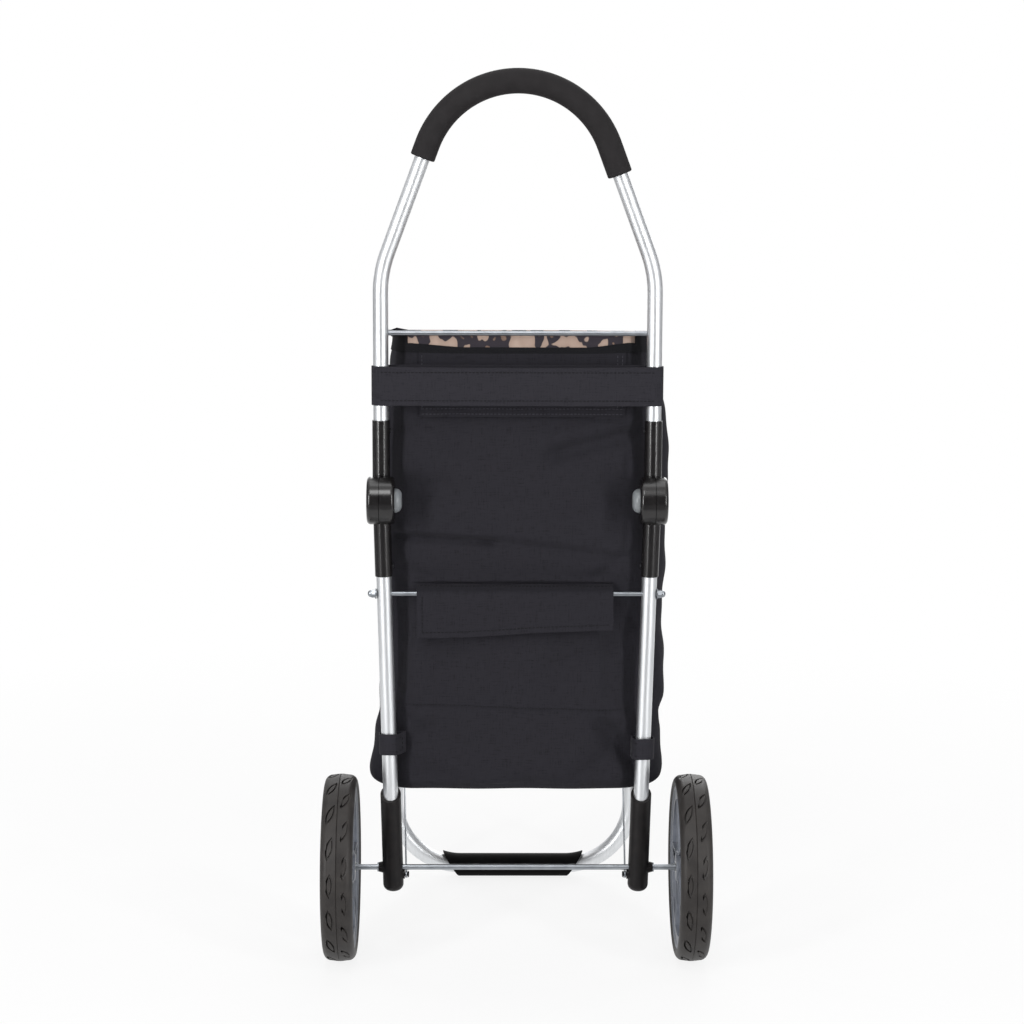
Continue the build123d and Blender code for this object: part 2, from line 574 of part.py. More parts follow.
SEAT_RADIUS = WHEEL_DIA / 2 - TYRE_THICKNESS
for side_name, side in SIDES.items():
    with BuildPart() as tyre:
        with BuildSketch(wheel_section(side)):
            with BuildLine():
                tread = WHEEL_DIA / 2
                edge = TYRE_WIDTH / 2
                wall_top = tread - CROWN - SHOULDER_ROUND
                groove = PARTING_WIDTH / 2
                Line((-BEAD_WIDTH / 2, SEAT_RADIUS), (BEAD_WIDTH / 2, SEAT_RADIUS))
                for half in (-1, 1):
                    flank = (half * edge, wall_top)
                    Line((half * BEAD_WIDTH / 2, SEAT_RADIUS), flank)
                    shoulder_x = half * (edge - SHOULDER_ROUND)
                    start = 0 if half > 0 else 90
                    CenterArc((shoulder_x, wall_top), SHOULDER_ROUND, start, 90)
                    Line((shoulder_x, tread - CROWN), (half * groove, tread))
                    Line((half * groove, tread), (0, tread - PARTING_DEPTH))
            make_face()
        revolve(axis=AXLE_LINE)
        for row in (-1, 1):
            with BuildSketch(*leaf_planes(side, row)):
                for margin, mode in ((0, Mode.ADD), (LEAF_GROOVE, Mode.SUBTRACT)):
                    with BuildLine():
                        tip = LEAF_LENGTH / 2 - 2 * margin
                        belly = LEAF_WIDTH / 2 - margin
                        ThreePointArc((0, -tip), (belly, 0), (0, tip))
                        ThreePointArc((0, tip), (-belly, 0), (0, -tip))
                    make_face(mode=mode)
            extrude(amount=-LEAF_DEPTH, mode=Mode.SUBTRACT)
    save(tyre, f"tyre_{side_name}")

RIM_RADIUS = SEAT_RADIUS - SEAT
WEB_RADIUS = RIM_RADIUS - RIM_WALL
EYE_RADIUS = WEB_RADIUS - RIM_WEB
SPOKE_WIDTH = SPOKE_INNER_REACH + HUB_OUTER_REACH
for side_name, side in SIDES.items():
    with BuildPart() as wheel:
        with BuildSketch(wheel_section(side)):
            with BuildLine():
                half_rim = BEAD_WIDTH / 2
                Polyline(
                    (-half_rim, RIM_RADIUS),
                    (half_rim, RIM_RADIUS),
                    (half_rim, RIM_RADIUS - RIM_WALL / 2),
                    (HUB_OUTER_REACH, WEB_RADIUS),
                    (HUB_OUTER_REACH, EYE_RADIUS),
                    (-SPOKE_INNER_REACH, EYE_RADIUS),
                    (-SPOKE_INNER_REACH, WEB_RADIUS),
                    (-half_rim, RIM_RADIUS - RIM_WALL / 2),
                    close=True,
                )
            make_face()
        revolve(axis=AXLE_LINE)
        hub = outward(side, HUB_INNER_X, FRAME_Y, AXLE_HEIGHT)
        rod(hub, HUB_DIA, HUB_INNER_REACH + HUB_OUTER_REACH)
        hub_rims = wheel.edges().filter_by(GeomType.CIRCLE)
        fillet(hub_rims.filter_by(lambda rim: abs(rim.radius - HUB_DIA / 2) < SEAT), HUB_ROUND)
        web_face = outward(side, TRACK / 2 - SPOKE_INNER_REACH, FRAME_Y, AXLE_HEIGHT)
        spoke_root = HUB_DIA / 2 - SPOKE_RIB
        spoke_end = EYE_RADIUS + SPOKE_RIB
        with BuildSketch(web_face):
            with PolarLocations(0, SPOKE_COUNT):
                Polygon(
                    (spoke_root, -SPOKE_HUB_HALF),
                    (spoke_end, -SPOKE_RIM_HALF),
                    (spoke_end, SPOKE_RIM_HALF),
                    (spoke_root, SPOKE_HUB_HALF),
                    align=None,
                )
        extrude(amount=SPOKE_WIDTH)
        pocket_root = HUB_DIA / 2 + SPOKE_RIB
        pocket_end = EYE_RADIUS - SPOKE_RIB / 2
        for pocket_floor in (0, SPOKE_WIDTH - SPOKE_POCKET):
            with BuildSketch(web_face.offset(pocket_floor)):
                with PolarLocations(0, SPOKE_COUNT):
                    Polygon(
                        (pocket_root, SPOKE_RIB - SPOKE_HUB_HALF),
                        (pocket_end, SPOKE_RIB - SPOKE_RIM_HALF),
                        (pocket_end, SPOKE_RIM_HALF - SPOKE_RIB),
                        (pocket_root, SPOKE_HUB_HALF - SPOKE_RIB),
                        align=None,
                    )
            extrude(amount=SPOKE_POCKET, mode=Mode.SUBTRACT)
        rod(hub, BUSH_DIA + 2 * SEAT, HUB_INNER_REACH + HUB_OUTER_REACH, Mode.SUBTRACT)
    save(wheel, f"wheel_{side_name}")

    with BuildPart() as wheel_bush:
        rod(hub, BUSH_DIA, HUB_INNER_REACH + HUB_OUTER_REACH)
        rod(hub, AXLE_DIA + 2 * RUN, HUB_INNER_REACH + HUB_OUTER_REACH, Mode.SUBTRACT)
    save(wheel_bush, f"wheel_bush_{side_name}")

# Front stand: arms under the bag, uprights in front of it and a bar on the floor
stand_start = arm_plane(1, STAND_COLLAR + SEAT).origin
STAY_FRONT_Y = STAND_Y - STAND_SHOULDER_RADIUS * (1 - cos(radians(STAY_TURN)))
STAY_FRONT_HEIGHT = STAND_HEIGHT - STAND_SHOULDER_RADIUS * (1 - sin(radians(STAY_TURN)))
with BuildPart() as front_stand:
    with BuildLine():
        stand_path = FilletPolyline(
            (-stand_start.X, stand_start.Y, STAND_HEIGHT),
            (-STAND_HALF, STAND_Y, STAND_HEIGHT),
            (-STAND_HALF, STAND_Y, BAR_HEIGHT),
            (STAND_HALF, STAND_Y, BAR_HEIGHT),
            (STAND_HALF, STAND_Y, STAND_HEIGHT),
            (stand_start.X, stand_start.Y, STAND_HEIGHT),
            radius=(
                STAND_SHOULDER_RADIUS,
                STAND_CORNER_RADIUS,
                STAND_CORNER_RADIUS,
                STAND_SHOULDER_RADIUS,
            ),
        )
    with BuildSketch(Plane(origin=stand_path @ 0, z_dir=stand_path % 0)):
        Circle(STAND_DIA / 2)
        Circle(STAND_DIA / 2 - STAND_WALL, mode=Mode.SUBTRACT)
    sweep(path=stand_path)
    for side in SIDES.values():
        rivet_spot = arm_plane(side, STAND_COLLAR + STAND_SPIGOT / 2).origin
        rivet_hole = Plane(origin=rivet_spot, x_dir=(0, 1, 0), z_dir=(side, 0, 0))
        rod(rivet_hole, STAND_RIVET_DIA + 2 * SEAT, STAND_DIA, Mode.SUBTRACT)
        stay_hole = outward(-side, -STAND_HALF, STAY_FRONT_Y, STAY_FRONT_HEIGHT)
        rod(stay_hole, STAY_PIN_DIA + 2 * SEAT, STAND_DIA, Mode.SUBTRACT)
save(front_stand, "front_stand")

with BuildPart() as stand_rivets:
    for side in SIDES.values():
        rivet_spot = arm_plane(side, STAND_COLLAR + STAND_SPIGOT / 2).origin
        seat_x = side * rivet_spot.X + STAND_DIA / 2 + SEAT
        seat = outward(-side, -seat_x, rivet_spot.Y, STAND_HEIGHT)
        rivet(seat, STAND_RIVET_DIA, STAND_DIA / 2, RIVET_HEAD_DIA, RIVET_HEAD)
save(stand_rivets, "stand_rivets")

# Rubber pad on the floor bar: slanting ends, flat underneath
with BuildPart() as stand_pad:
    with BuildLine(Plane(origin=(0, STAND_Y, 0), x_dir=(1, 0, 0), z_dir=(0, -1, 0))):
        bar_path = FilletPolyline(
            (-STAND_HALF, BAR_HEIGHT + STAND_CORNER_RADIUS + PAD_DIA),
            (-STAND_HALF, BAR_HEIGHT),
            (STAND_HALF, BAR_HEIGHT),
            (STAND_HALF, BAR_HEIGHT + STAND_CORNER_RADIUS + PAD_DIA),
            radius=STAND_CORNER_RADIUS,
        )
    with BuildSketch(Plane(origin=bar_path @ 0, z_dir=bar_path % 0)):
        Circle(PAD_DIA / 2)
        Circle(STAND_DIA / 2 + SEAT, mode=Mode.SUBTRACT)
    sweep(path=bar_path)
    split(bisect_by=Plane.XY.offset(BAR_HEIGHT + PAD_DIA), keep=Keep.BOTTOM)
    for side in SIDES.values():
        end = Plane(
            origin=(side * (PAD_TOP_HALF + PAD_BOTTOM_HALF) / 2, STAND_Y, BAR_HEIGHT),
            x_dir=(0, 1, 0),
            z_dir=(side * PAD_DIA, 0, PAD_BOTTOM_HALF - PAD_TOP_HALF),
        )
        split(bisect_by=end, keep=Keep.BOTTOM)
    split(bisect_by=Plane.XY, keep=Keep.TOP)
save(stand_pad, "stand_pad")

# Stay wires with an eye at each end, the screws in the boots and the rivets in the stand
STAY_EYE_RADIUS = (STAY_PIN_DIA + STAY_DIA) / 2 + SEAT
EYE_ROOM = STAY_DIA + 2 * FREE
STAY_REAR_X = NUB_REACH - STAY_DIA / 2 - FREE
STAY_FRONT_X = STAND_HALF - STAND_DIA / 2 - STAY_DIA / 2 - FREE
for side_name, side in SIDES.items():
    with BuildPart() as stay_wire:
        rear = Vector(side * STAY_REAR_X, FRAME_Y, NUB_HEIGHT)
        front = Vector(side * STAY_FRONT_X, STAY_FRONT_Y, STAY_FRONT_HEIGHT)
        along = (front - rear).normalized()
        with BuildSketch(Plane(origin=rear + along * STAY_EYE_RADIUS, z_dir=along)):
            Circle(STAY_DIA / 2)
        extrude(amount=(front - rear).length - 2 * STAY_EYE_RADIUS)
        for eye in (rear, front):
            with Locations(Plane(origin=eye, z_dir=(1, 0, 0))):
                Torus(STAY_EYE_RADIUS, STAY_DIA / 2)
    save(stay_wire, f"stay_wire_{side_name}")

with BuildPart() as stay_screws:
    for side in SIDES.values():
        seat = outward(side, STAY_REAR_X - EYE_ROOM / 2, FRAME_Y, NUB_HEIGHT)
        rivet(seat, STAY_PIN_DIA, EYE_ROOM + NUB_DIA / 2, STAY_HEAD_DIA, STAY_HEAD)
save(stay_screws, "stay_screws")

with BuildPart() as stay_rivets:
    for side in SIDES.values():
        seat = outward(side, STAY_FRONT_X - EYE_ROOM / 2, STAY_FRONT_Y, STAY_FRONT_HEIGHT)
        rivet(seat, STAY_PIN_DIA, EYE_ROOM + 2 * STAND_WALL, STAY_HEAD_DIA, STAY_HEAD)
save(stay_rivets, "stay_rivets")


# Bag: a shell that swells a little at its waist, open at the top, where its back stands higher
def bag_section(height, width, depth, inset):
    """Rounded rectangle of the bag at a height, with its back edge on the plane of the back."""
    with BuildSketch(Plane(origin=(0, BAG_BACK_Y + depth / 2, height))) as section:
        RectangleRounded(width - 2 * inset, depth - 2 * inset, BAG_CORNER - inset)
    return section.sketch


def bag_form(bottom, inset):
    """Outline of the bag at its bottom, waist and top, drawn in by the wall where asked."""
    return [
        bag_section(bottom, BAG_BASE_WIDTH, BAG_BASE_DEPTH, inset),
        bag_section(BAG_WAIST, BAG_WAIST_WIDTH, BAG_WAIST_DEPTH, inset),
        bag_section(MOUTH_TOP, BAG_TOP_WIDTH, BAG_TOP_DEPTH, inset),
    ]


with BuildPart() as bag_inside:
    loft(bag_form(BAG_BOTTOM + BAG_WALL, BAG_WALL))
    fillet(bag_inside.faces().sort_by(Axis.Z)[0].edges(), BAG_BASE_ROUND - BAG_WALL)

with BuildPart() as bag_body:
    loft(bag_form(BAG_BOTTOM, 0))
    fillet(bag_body.faces().sort_by(Axis.Z)[0].edges(), BAG_BASE_ROUND)
    add(bag_inside.part, mode=Mode.SUBTRACT)
    mouth = Plane(
        origin=(0, BAG_BACK_Y, MOUTH_TOP), x_dir=(1, 0, 0), z_dir=(0, MOUTH_RISE, BAG_TOP_DEPTH)
    )
    split(bisect_by=mouth, keep=Keep.BOTTOM)
save(bag_body, "bag_body")

with BuildPart() as bag_base_board:
    board_inset = BAG_WALL + BOARD_INSET
    board_height = BAG_BOTTOM + BAG_WALL + SOFT_GAP
    extrude(bag_section(board_height, BAG_BASE_WIDTH, BAG_BASE_DEPTH, board_inset), BOARD_THICKNESS)
save(bag_base_board, "bag_base_board")

# Lid: a top that slopes from the back edge and turns down over the front of the bag
with BuildPart() as bag_lid:
    with BuildSketch(Plane.YZ):
        with BuildLine():
            rear_under = MOUTH_TOP + SOFT_GAP
            front_under = BAG_TOP + SOFT_GAP
            front_y = BAG_BACK_Y + BAG_TOP_DEPTH + LID_GAP
            bag_slope = (BAG_WAIST_DEPTH - BAG_TOP_DEPTH) / (BAG_TOP - BAG_WAIST)
            hem_y = front_y + LID_FLARE * bag_slope * LID_DROP
            Polyline(
                (BAG_BACK_Y, rear_under),
                (front_y, front_under),
                (hem_y, BAG_TOP - LID_DROP),
                (hem_y + LID_THICKNESS, BAG_TOP - LID_DROP),
                (front_y + LID_THICKNESS, front_under + LID_THICKNESS),
                (BAG_BACK_Y, rear_under + LID_THICKNESS),
                close=True,
            )
        make_face()
    lid_half = BAG_TOP_WIDTH / 2 + LID_OVERHANG
    extrude(amount=lid_half, both=True)
save(bag_lid, "bag_lid")

# Strap in a closed loop round both upper tubes
with BuildPart() as bag_top_strap:
    with BuildSketch(Plane(origin=(0, FRAME_Y, STRAP_BOTTOM))):
        loop = TUBE_RADIUS + SOFT_GAP
        SlotCenterToCenter(2 * HALF_GAUGE, 2 * (loop + STRAP_THICKNESS))
        SlotCenterToCenter(2 * HALF_GAUGE, 2 * loop, mode=Mode.SUBTRACT)
    extrude(amount=STRAP_WIDTH)
save(bag_top_strap, "bag_top_strap")

# Flap sewn to the back of the bag, folded over the middle rod and hanging behind it
with BuildPart() as bag_rod_flap:
    with BuildSketch(Plane(origin=(-FLAP_LEFT, 0, 0), x_dir=(0, 1, 0), z_dir=(1, 0, 0))):
        inner = ROD_DIA / 2 + SOFT_GAP
        outer = inner + FLAP_THICKNESS
        with BuildLine():
            sewn_y = BAG_BACK_Y - SOFT_GAP
            hem_height = MID_ROD_HEIGHT - FLAP_DROP
            Polyline(
                (FRAME_Y, MID_ROD_HEIGHT + outer),
                (sewn_y, MID_ROD_HEIGHT + outer),
                (sewn_y, MID_ROD_HEIGHT + inner),
                (FRAME_Y, MID_ROD_HEIGHT + inner),
            )
            CenterArc((FRAME_Y, MID_ROD_HEIGHT), inner, 90, 90)
            Polyline(
                (FRAME_Y - inner, MID_ROD_HEIGHT),
                (FRAME_Y - inner, hem_height),
                (FRAME_Y - outer, hem_height),
                (FRAME_Y - outer, MID_ROD_HEIGHT),
            )
            CenterArc((FRAME_Y, MID_ROD_HEIGHT), outer, 90, 90)
        make_face()
    extrude(amount=FLAP_LEFT + FLAP_RIGHT)
save(bag_rod_flap, "bag_rod_flap")

# Webbing loops that hold the bag to the lower tubes
for side_name, side in SIDES.items():
    with BuildPart() as tube_strap:
        strap_height = BAG_BOTTOM + TUBE_STRAP_RISE
        loop = TUBE_RADIUS + SOFT_GAP
        sewn = STRAP_THICKNESS / 2
        with BuildSketch(leg_plane(side, strap_height)):
            Circle(loop + STRAP_THICKNESS)
            end_x = side * (TUBE_STRAP_INNER + sewn - leg_x(strap_height))
            with Locations((end_x, BAG_BACK_Y - FRAME_Y - SOFT_GAP - sewn)):
                Circle(sewn)
            make_hull()
            Circle(loop, mode=Mode.SUBTRACT)
        extrude(amount=TUBE_STRAP_WIDTH)
    save(tube_strap, f"bag_tube_strap_{side_name}")
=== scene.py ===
# %% [markdown]
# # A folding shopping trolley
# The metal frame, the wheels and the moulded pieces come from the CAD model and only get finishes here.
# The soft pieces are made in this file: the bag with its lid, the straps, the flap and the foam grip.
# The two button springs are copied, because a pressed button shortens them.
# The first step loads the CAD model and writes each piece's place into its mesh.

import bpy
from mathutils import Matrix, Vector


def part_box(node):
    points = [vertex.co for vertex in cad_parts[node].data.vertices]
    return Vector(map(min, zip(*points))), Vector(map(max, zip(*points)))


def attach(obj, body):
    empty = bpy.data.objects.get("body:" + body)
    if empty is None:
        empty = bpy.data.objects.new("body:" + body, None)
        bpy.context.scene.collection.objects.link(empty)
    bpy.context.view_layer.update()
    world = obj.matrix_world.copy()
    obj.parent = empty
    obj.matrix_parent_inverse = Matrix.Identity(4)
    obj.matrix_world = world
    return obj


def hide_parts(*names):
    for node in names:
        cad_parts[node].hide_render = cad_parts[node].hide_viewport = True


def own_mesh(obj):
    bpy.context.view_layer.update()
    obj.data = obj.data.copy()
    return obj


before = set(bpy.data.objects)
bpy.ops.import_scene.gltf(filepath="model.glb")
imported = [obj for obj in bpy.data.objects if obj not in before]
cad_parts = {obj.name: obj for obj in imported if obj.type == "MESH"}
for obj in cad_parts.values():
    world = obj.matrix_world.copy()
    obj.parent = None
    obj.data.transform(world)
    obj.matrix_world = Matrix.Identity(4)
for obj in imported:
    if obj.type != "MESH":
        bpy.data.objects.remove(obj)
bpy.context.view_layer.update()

# %% [markdown]
# ## Small tools
# Blender's operators act on whatever is selected, so every step starts by clearing the selection.
# `start` names the newest object and writes its place into its mesh. `edit` opens a piece for modelling, and
# `done` closes it again.
# `pick` selects vertices, edges or faces by a test on their place or normal.
# `apply` puts a modifier on a piece and applies it at once, so the piece is a plain mesh again.

# %% Tools for modelling
import math

import bmesh
import bpy
from mathutils import Matrix, Vector

MM = 0.001


def done():
    """Leaves edit mode."""
    bpy.ops.object.mode_set(mode="OBJECT")


def clear_selection():
    if bpy.context.object and bpy.context.object.mode != "OBJECT":
        done()
    bpy.ops.object.select_all(action="DESELECT")


def start(name, size=(1, 1, 1)):
    piece = bpy.context.object
    piece.name = piece.data.name = name
    piece.scale = size
    bpy.ops.object.transform_apply(location=True, rotation=True, scale=True)
    return piece


def edit(piece, action="DESELECT"):
    clear_selection()
    piece.select_set(True)
    bpy.context.view_layer.objects.active = piece
    bpy.ops.object.mode_set(mode="EDIT")
    bpy.ops.mesh.select_all(action=action)


def pick(piece, kind, test):
    """Selects the vertices, edges or faces that pass a test, and nothing else."""
    bpy.ops.mesh.select_all(action="DESELECT")
    bpy.ops.mesh.select_mode(type={"verts": "VERT", "edges": "EDGE", "faces": "FACE"}[kind])
    shape = bmesh.from_edit_mesh(piece.data)
    shape.normal_update()
    for part in [part for part in getattr(shape, kind) if test(part)]:
        part.select_set(True)
    bmesh.update_edit_mesh(piece.data)


def apply(piece, kind, **settings):
    clear_selection()
    modifier = piece.modifiers.new(kind.title(), kind)
    for key, value in settings.items():
        setattr(modifier, key, value)
    bpy.context.view_layer.objects.active = piece
    bpy.ops.object.modifier_apply(modifier=modifier.name)


def tidy(piece, angle=40):
    """Merges doubles, points the faces outwards and shades the piece smooth."""
    edit(piece, "SELECT")
    bpy.ops.mesh.remove_doubles(threshold=0.02 * MM)
    bpy.ops.mesh.normals_make_consistent(inside=False)
    done()
    bpy.ops.object.shade_smooth_by_angle(angle=math.radians(angle))


# %% [markdown]
# ## Camera, floor and light
# The photo looks at the back of the trolley from about the height of its handle, almost three metres away.
# A long lens keeps the tubes nearly parallel. The background is white, so the world is white to the camera
# and to reflections, and softer where it lights the object. Two tall strip lamps beside the camera draw the
# bright lines on the black mouldings, and grey cards that only reflections see give the tubes soft edges.

# %% Camera
scene = bpy.context.scene
scene.view_settings.view_transform = "Standard"

LOOK_DOWN, ROLL, PAN = 9.44, -0.2, -0.566  # degrees
camera_data = bpy.data.cameras.new("Photo camera")
camera_data.lens = 88.07
camera_data.sensor_width = 36
camera = bpy.data.objects.new("Photo camera", camera_data)
camera.location = (-0.0325, -2.70, 0.92)
camera.rotation_euler = (math.radians(90 - LOOK_DOWN), math.radians(ROLL), math.radians(PAN))
scene.collection.objects.link(camera)
scene.camera = camera

# %% Node tools


def linear(colour):
    """An sRGB hex colour as linear red, green, blue and alpha."""
    parts = [int(colour[i : i + 2], 16) / 255 for i in (1, 3, 5)]
    return [v / 12.92 if v <= 0.04045 else ((v + 0.055) / 1.055) ** 2.4 for v in parts] + [1.0]


def wire(tree, made, inputs):
    """Sets the inputs of a node, or links them to other nodes."""
    for key, value in inputs.items():
        if isinstance(value, bpy.types.NodeSocket):
            tree.links.new(value, made.inputs[key])
        else:
            made.inputs[key].default_value = value


def node(tree, kind, inputs=None, stops=(), **settings):
    """Adds a shader node with its settings, inputs and colour stops."""
    made = tree.nodes.new("ShaderNode" + kind)
    for key, value in settings.items():
        setattr(made, key, value)
    wire(tree, made, inputs or {})
    for index, (position, colour) in enumerate(stops):
        run = made.color_ramp.elements
        stop = run[index] if index < len(run) else run.new(position)
        stop.position, stop.color = position, linear(colour)
    return made


def finish_of(name):
    """A new material with its tree and its shader."""
    material = bpy.data.materials.new(name)
    material.use_nodes = True
    tree = material.node_tree
    tree.nodes.clear()
    shader = node(tree, "BsdfPrincipled")
    node(tree, "OutputMaterial", {"Surface": shader.outputs[0]})
    return material, tree, shader


def seen_directly(tree):
    """1 for rays from the camera, a reflection or glass, and 0 for rays that only carry light."""
    rays = node(tree, "LightPath").outputs
    most = node(tree, "Math", {0: rays["Is Camera Ray"], 1: rays["Is Glossy Ray"]}, operation="MAXIMUM")
    most = node(tree, "Math", {0: most.outputs[0], 1: rays["Is Transmission Ray"]}, operation="MAXIMUM")
    return most.outputs[0]


def dress(piece, *finishes):
    """Gives a piece new finishes."""
    piece.data.materials.clear()
    for finish in finishes:
        piece.data.materials.append(finish)


# %% World and lamps
world = bpy.data.worlds.new("White studio")
scene.world = world
world.use_nodes = True
tree = world.node_tree
tree.nodes.clear()
soft = node(tree, "Background", {"Color": linear("#f4f5f7"), "Strength": 0.14})
white = node(tree, "Background", {"Color": linear("#ffffff"), "Strength": 1.0})
both = node(tree, "MixShader", {0: seen_directly(tree), 1: soft.outputs[0], 2: white.outputs[0]})
node(tree, "OutputWorld", {"Surface": both.outputs[0]})
AIM = Vector((0, 0, 0.45))


def lamp(name, place, size, watts):
    data = bpy.data.lights.new(name, "AREA")
    data.shape = "RECTANGLE"
    data.size, data.size_y = size
    data.energy = watts
    made = bpy.data.objects.new(name, data)
    made.location = place
    made.rotation_euler = (AIM - Vector(place)).to_track_quat("-Z", "Y").to_euler()
    scene.collection.objects.link(made)


lamp("Left strip", (-1.45, -1.9, 0.95), (0.22, 1.6), 31)
lamp("Right strip", (1.45, -1.9, 0.95), (0.22, 1.6), 25)
lamp("High lamp", (-0.3, -1.7, 2.4), (0.8, 0.8), 14)
lamp("Left lamp", (-2.4, 0.5, 1.3), (1.2, 1.2), 10)
lamp("Right lamp", (2.4, 0.5, 1.3), (1.2, 1.2), 10)
lamp("Front lamp", (0.5, 2.5, 1.6), (1.8, 1.8), 28)
lamp("Top lamp", (0.0, 0.3, 2.8), (1.6, 1.6), 12)
print("lamps:", len(bpy.data.lights))

# %% Floor and cards
clear_selection()
bpy.ops.mesh.primitive_plane_add(size=14)
floor = start("Floor")
paper, tree, shader = finish_of("White paper")
place = node(tree, "TexCoord").outputs["Object"]
fibre = node(tree, "TexNoise", {"Vector": place, "Scale": 1 / (160 * MM), "Detail": 3.0}).outputs["Fac"]
tone = node(tree, "ValToRGB", {"Fac": fibre}, [(0.3, "#f7f7f7"), (0.7, "#fcfcfc")])
wire(tree, shader, {"Base Color": tone.outputs["Color"], "Roughness": 0.9, "Specular IOR Level": 0.1})
# To the camera the paper glows, more so farther away, so that its edge is never seen.
away = node(tree, "VectorMath", {0: place}, operation="LENGTH").outputs["Value"]
fade = {"Value": away, "From Min": 0.35, "From Max": 1.5, "To Min": 0.85, "To Max": 1.0}
share = node(tree, "MapRange", fade)
share = node(tree, "Math", {0: share.outputs[0], 1: seen_directly(tree)}, operation="MULTIPLY")
glow = node(tree, "Emission", {"Color": linear("#ffffff"), "Strength": 1.0})
mixed = node(tree, "MixShader", {0: share.outputs[0], 1: shader.outputs[0], 2: glow.outputs[0]})
wire(tree, tree.nodes["Material Output"], {"Surface": mixed.outputs[0]})
dress(floor, paper)

felt, tree, shader = finish_of("Grey felt")
wire(tree, shader, {"Base Color": linear("#9a9a9c"), "Roughness": 1.0})
UPRIGHT = math.radians(90)
CARDS = [
    ("Card_left", (-1.6, 0.9, 0.9), (0, UPRIGHT, 0), (2.2, 3.4, 1)),
    ("Card_right", (1.6, 0.9, 0.9), (0, UPRIGHT, 0), (2.2, 3.4, 1)),
    ("Card_behind_camera", (0, -3.6, 1.3), (UPRIGHT, 0, 0), (5.0, 3.2, 1)),
    ("Card_on_floor", (0, -2.1, 0.002), (0, 0, 0), (4.0, 2.6, 1)),
]
for name, spot, turn, size in CARDS:
    clear_selection()
    bpy.ops.mesh.primitive_plane_add(size=1, location=spot, rotation=turn)
    card = start(name, size)
    dress(card, felt)
    card.visible_camera = card.visible_diffuse = card.visible_shadow = card.visible_transmission = False
print("cards:", len(CARDS))

# %% [markdown]
# ## Finishes of the hard pieces
# The tubes are drawn aluminium, satin anodised: a soft, even mirror with faint streaks along the draw.
# The rods, the axle and the fasteners are zinc-plated steel, a little bluer and sharper.
# The knuckles and boots are black nylon, moulded, with a fine spark grain that breaks up the shine.
# Each pattern's scale is one over its real size in metres, because the pieces are in metres.

# %% Metal, plastic and rubber


def hard_finish(name, dark, pale, rough, patch, grain=None, metallic=0.0, stretch=(1, 1, 1), gloss=0.5):
    """Colour and roughness drift over patches of one size. A fine grain has a size and a depth."""
    material, tree, shader = finish_of(name)
    place = node(tree, "TexCoord").outputs["Object"]
    drawn = node(tree, "Mapping", {"Vector": place, "Scale": stretch}).outputs[0]
    drift = node(tree, "TexNoise", {"Vector": drawn, "Scale": 1 / patch, "Detail": 3.0}).outputs["Fac"]
    colour = node(tree, "ValToRGB", {"Fac": drift}, [(0.3, dark), (0.7, pale)]).outputs["Color"]
    shine = node(tree, "MapRange", {"Value": drift, "To Min": rough[0], "To Max": rough[1]}).outputs[0]
    looks = {"Base Color": colour, "Roughness": shine, "Metallic": metallic, "Specular IOR Level": gloss}
    if grain:
        fine = node(tree, "TexNoise", {"Vector": place, "Scale": 1 / grain[0], "Detail": 2.0}).outputs["Fac"]
        bump = node(tree, "Bump", {"Height": fine, "Strength": 0.5, "Distance": grain[1]})
        looks["Normal"] = bump.outputs["Normal"]
    wire(tree, shader, looks)
    return material


# Drawn, then satin anodised: streaks run along the tube, so the noise is stretched in height.
DRAWN = (1, 1, 0.05)
anodised = hard_finish(
    "Anodised aluminium", "#d6d8da", "#e2e4e6", (0.38, 0.48), 3 * MM, (1.2 * MM, 0.01 * MM), 1.0, DRAWN
)
# Bright zinc plating: faint clouds, greyer and bluer than the aluminium.
zinc = hard_finish("Zinc plated steel", "#8e9297", "#9ea2a7", (0.3, 0.4), 9 * MM, (1.5 * MM, 0.002 * MM), 1.0)
# Blackened screws: dull and almost without colour.
black_oxide = hard_finish(
    "Black oxide steel", "#2a2a2c", "#3a3a3d", (0.35, 0.5), 3 * MM, (0.6 * MM, 0.01 * MM), 1.0
)
# Glass-filled nylon from a spark-eroded mould: a slightly warm black with a broken shine.
nylon = hard_finish(
    "Black moulded nylon", "#100e0f", "#171515", (0.18, 0.26), 9 * MM, (0.9 * MM, 0.002 * MM), gloss=0.55
)
# The boots and caps are the same nylon from a coarser mould, so they shine less.
matt_nylon = hard_finish(
    "Matt black nylon", "#141213", "#1c1919", (0.34, 0.46), 9 * MM, (0.9 * MM, 0.01 * MM), gloss=0.2
)
# Polypropylene: waxy and soft-edged, with faint flow marks.
polypropylene = hard_finish(
    "Grey moulded polypropylene", "#61656d", "#72767f", (0.36, 0.5), 12 * MM, (1.0 * MM, 0.04 * MM)
)
button_abs = hard_finish("Grey moulded ABS", "#7b7f82", "#8b8f92", (0.28, 0.4), 8 * MM, (0.7 * MM, 0.03 * MM))
acetal = hard_finish("White acetal", "#c6c5bf", "#d2d1cb", (0.3, 0.4), 6 * MM)
# Tyre rubber: matt, brownish black, a little dusty in patches.
tyre_rubber = hard_finish(
    "Moulded tyre rubber", "#252221", "#33302e", (0.42, 0.6), 14 * MM, (1.1 * MM, 0.05 * MM), gloss=0.3
)
pad_rubber = hard_finish(
    "Moulded pad rubber", "#0e0d0d", "#151414", (0.55, 0.7), 10 * MM, (1.2 * MM, 0.06 * MM), gloss=0.06
)
board = hard_finish("Black fibre board", "#1d1c1c", "#2a2928", (0.7, 0.85), 5 * MM, (1.5 * MM, 0.1 * MM))

SIDES = {"left": -1, "right": 1}


def pairs(*names):
    return [f"{name}_{side}" for name in names for side in SIDES]


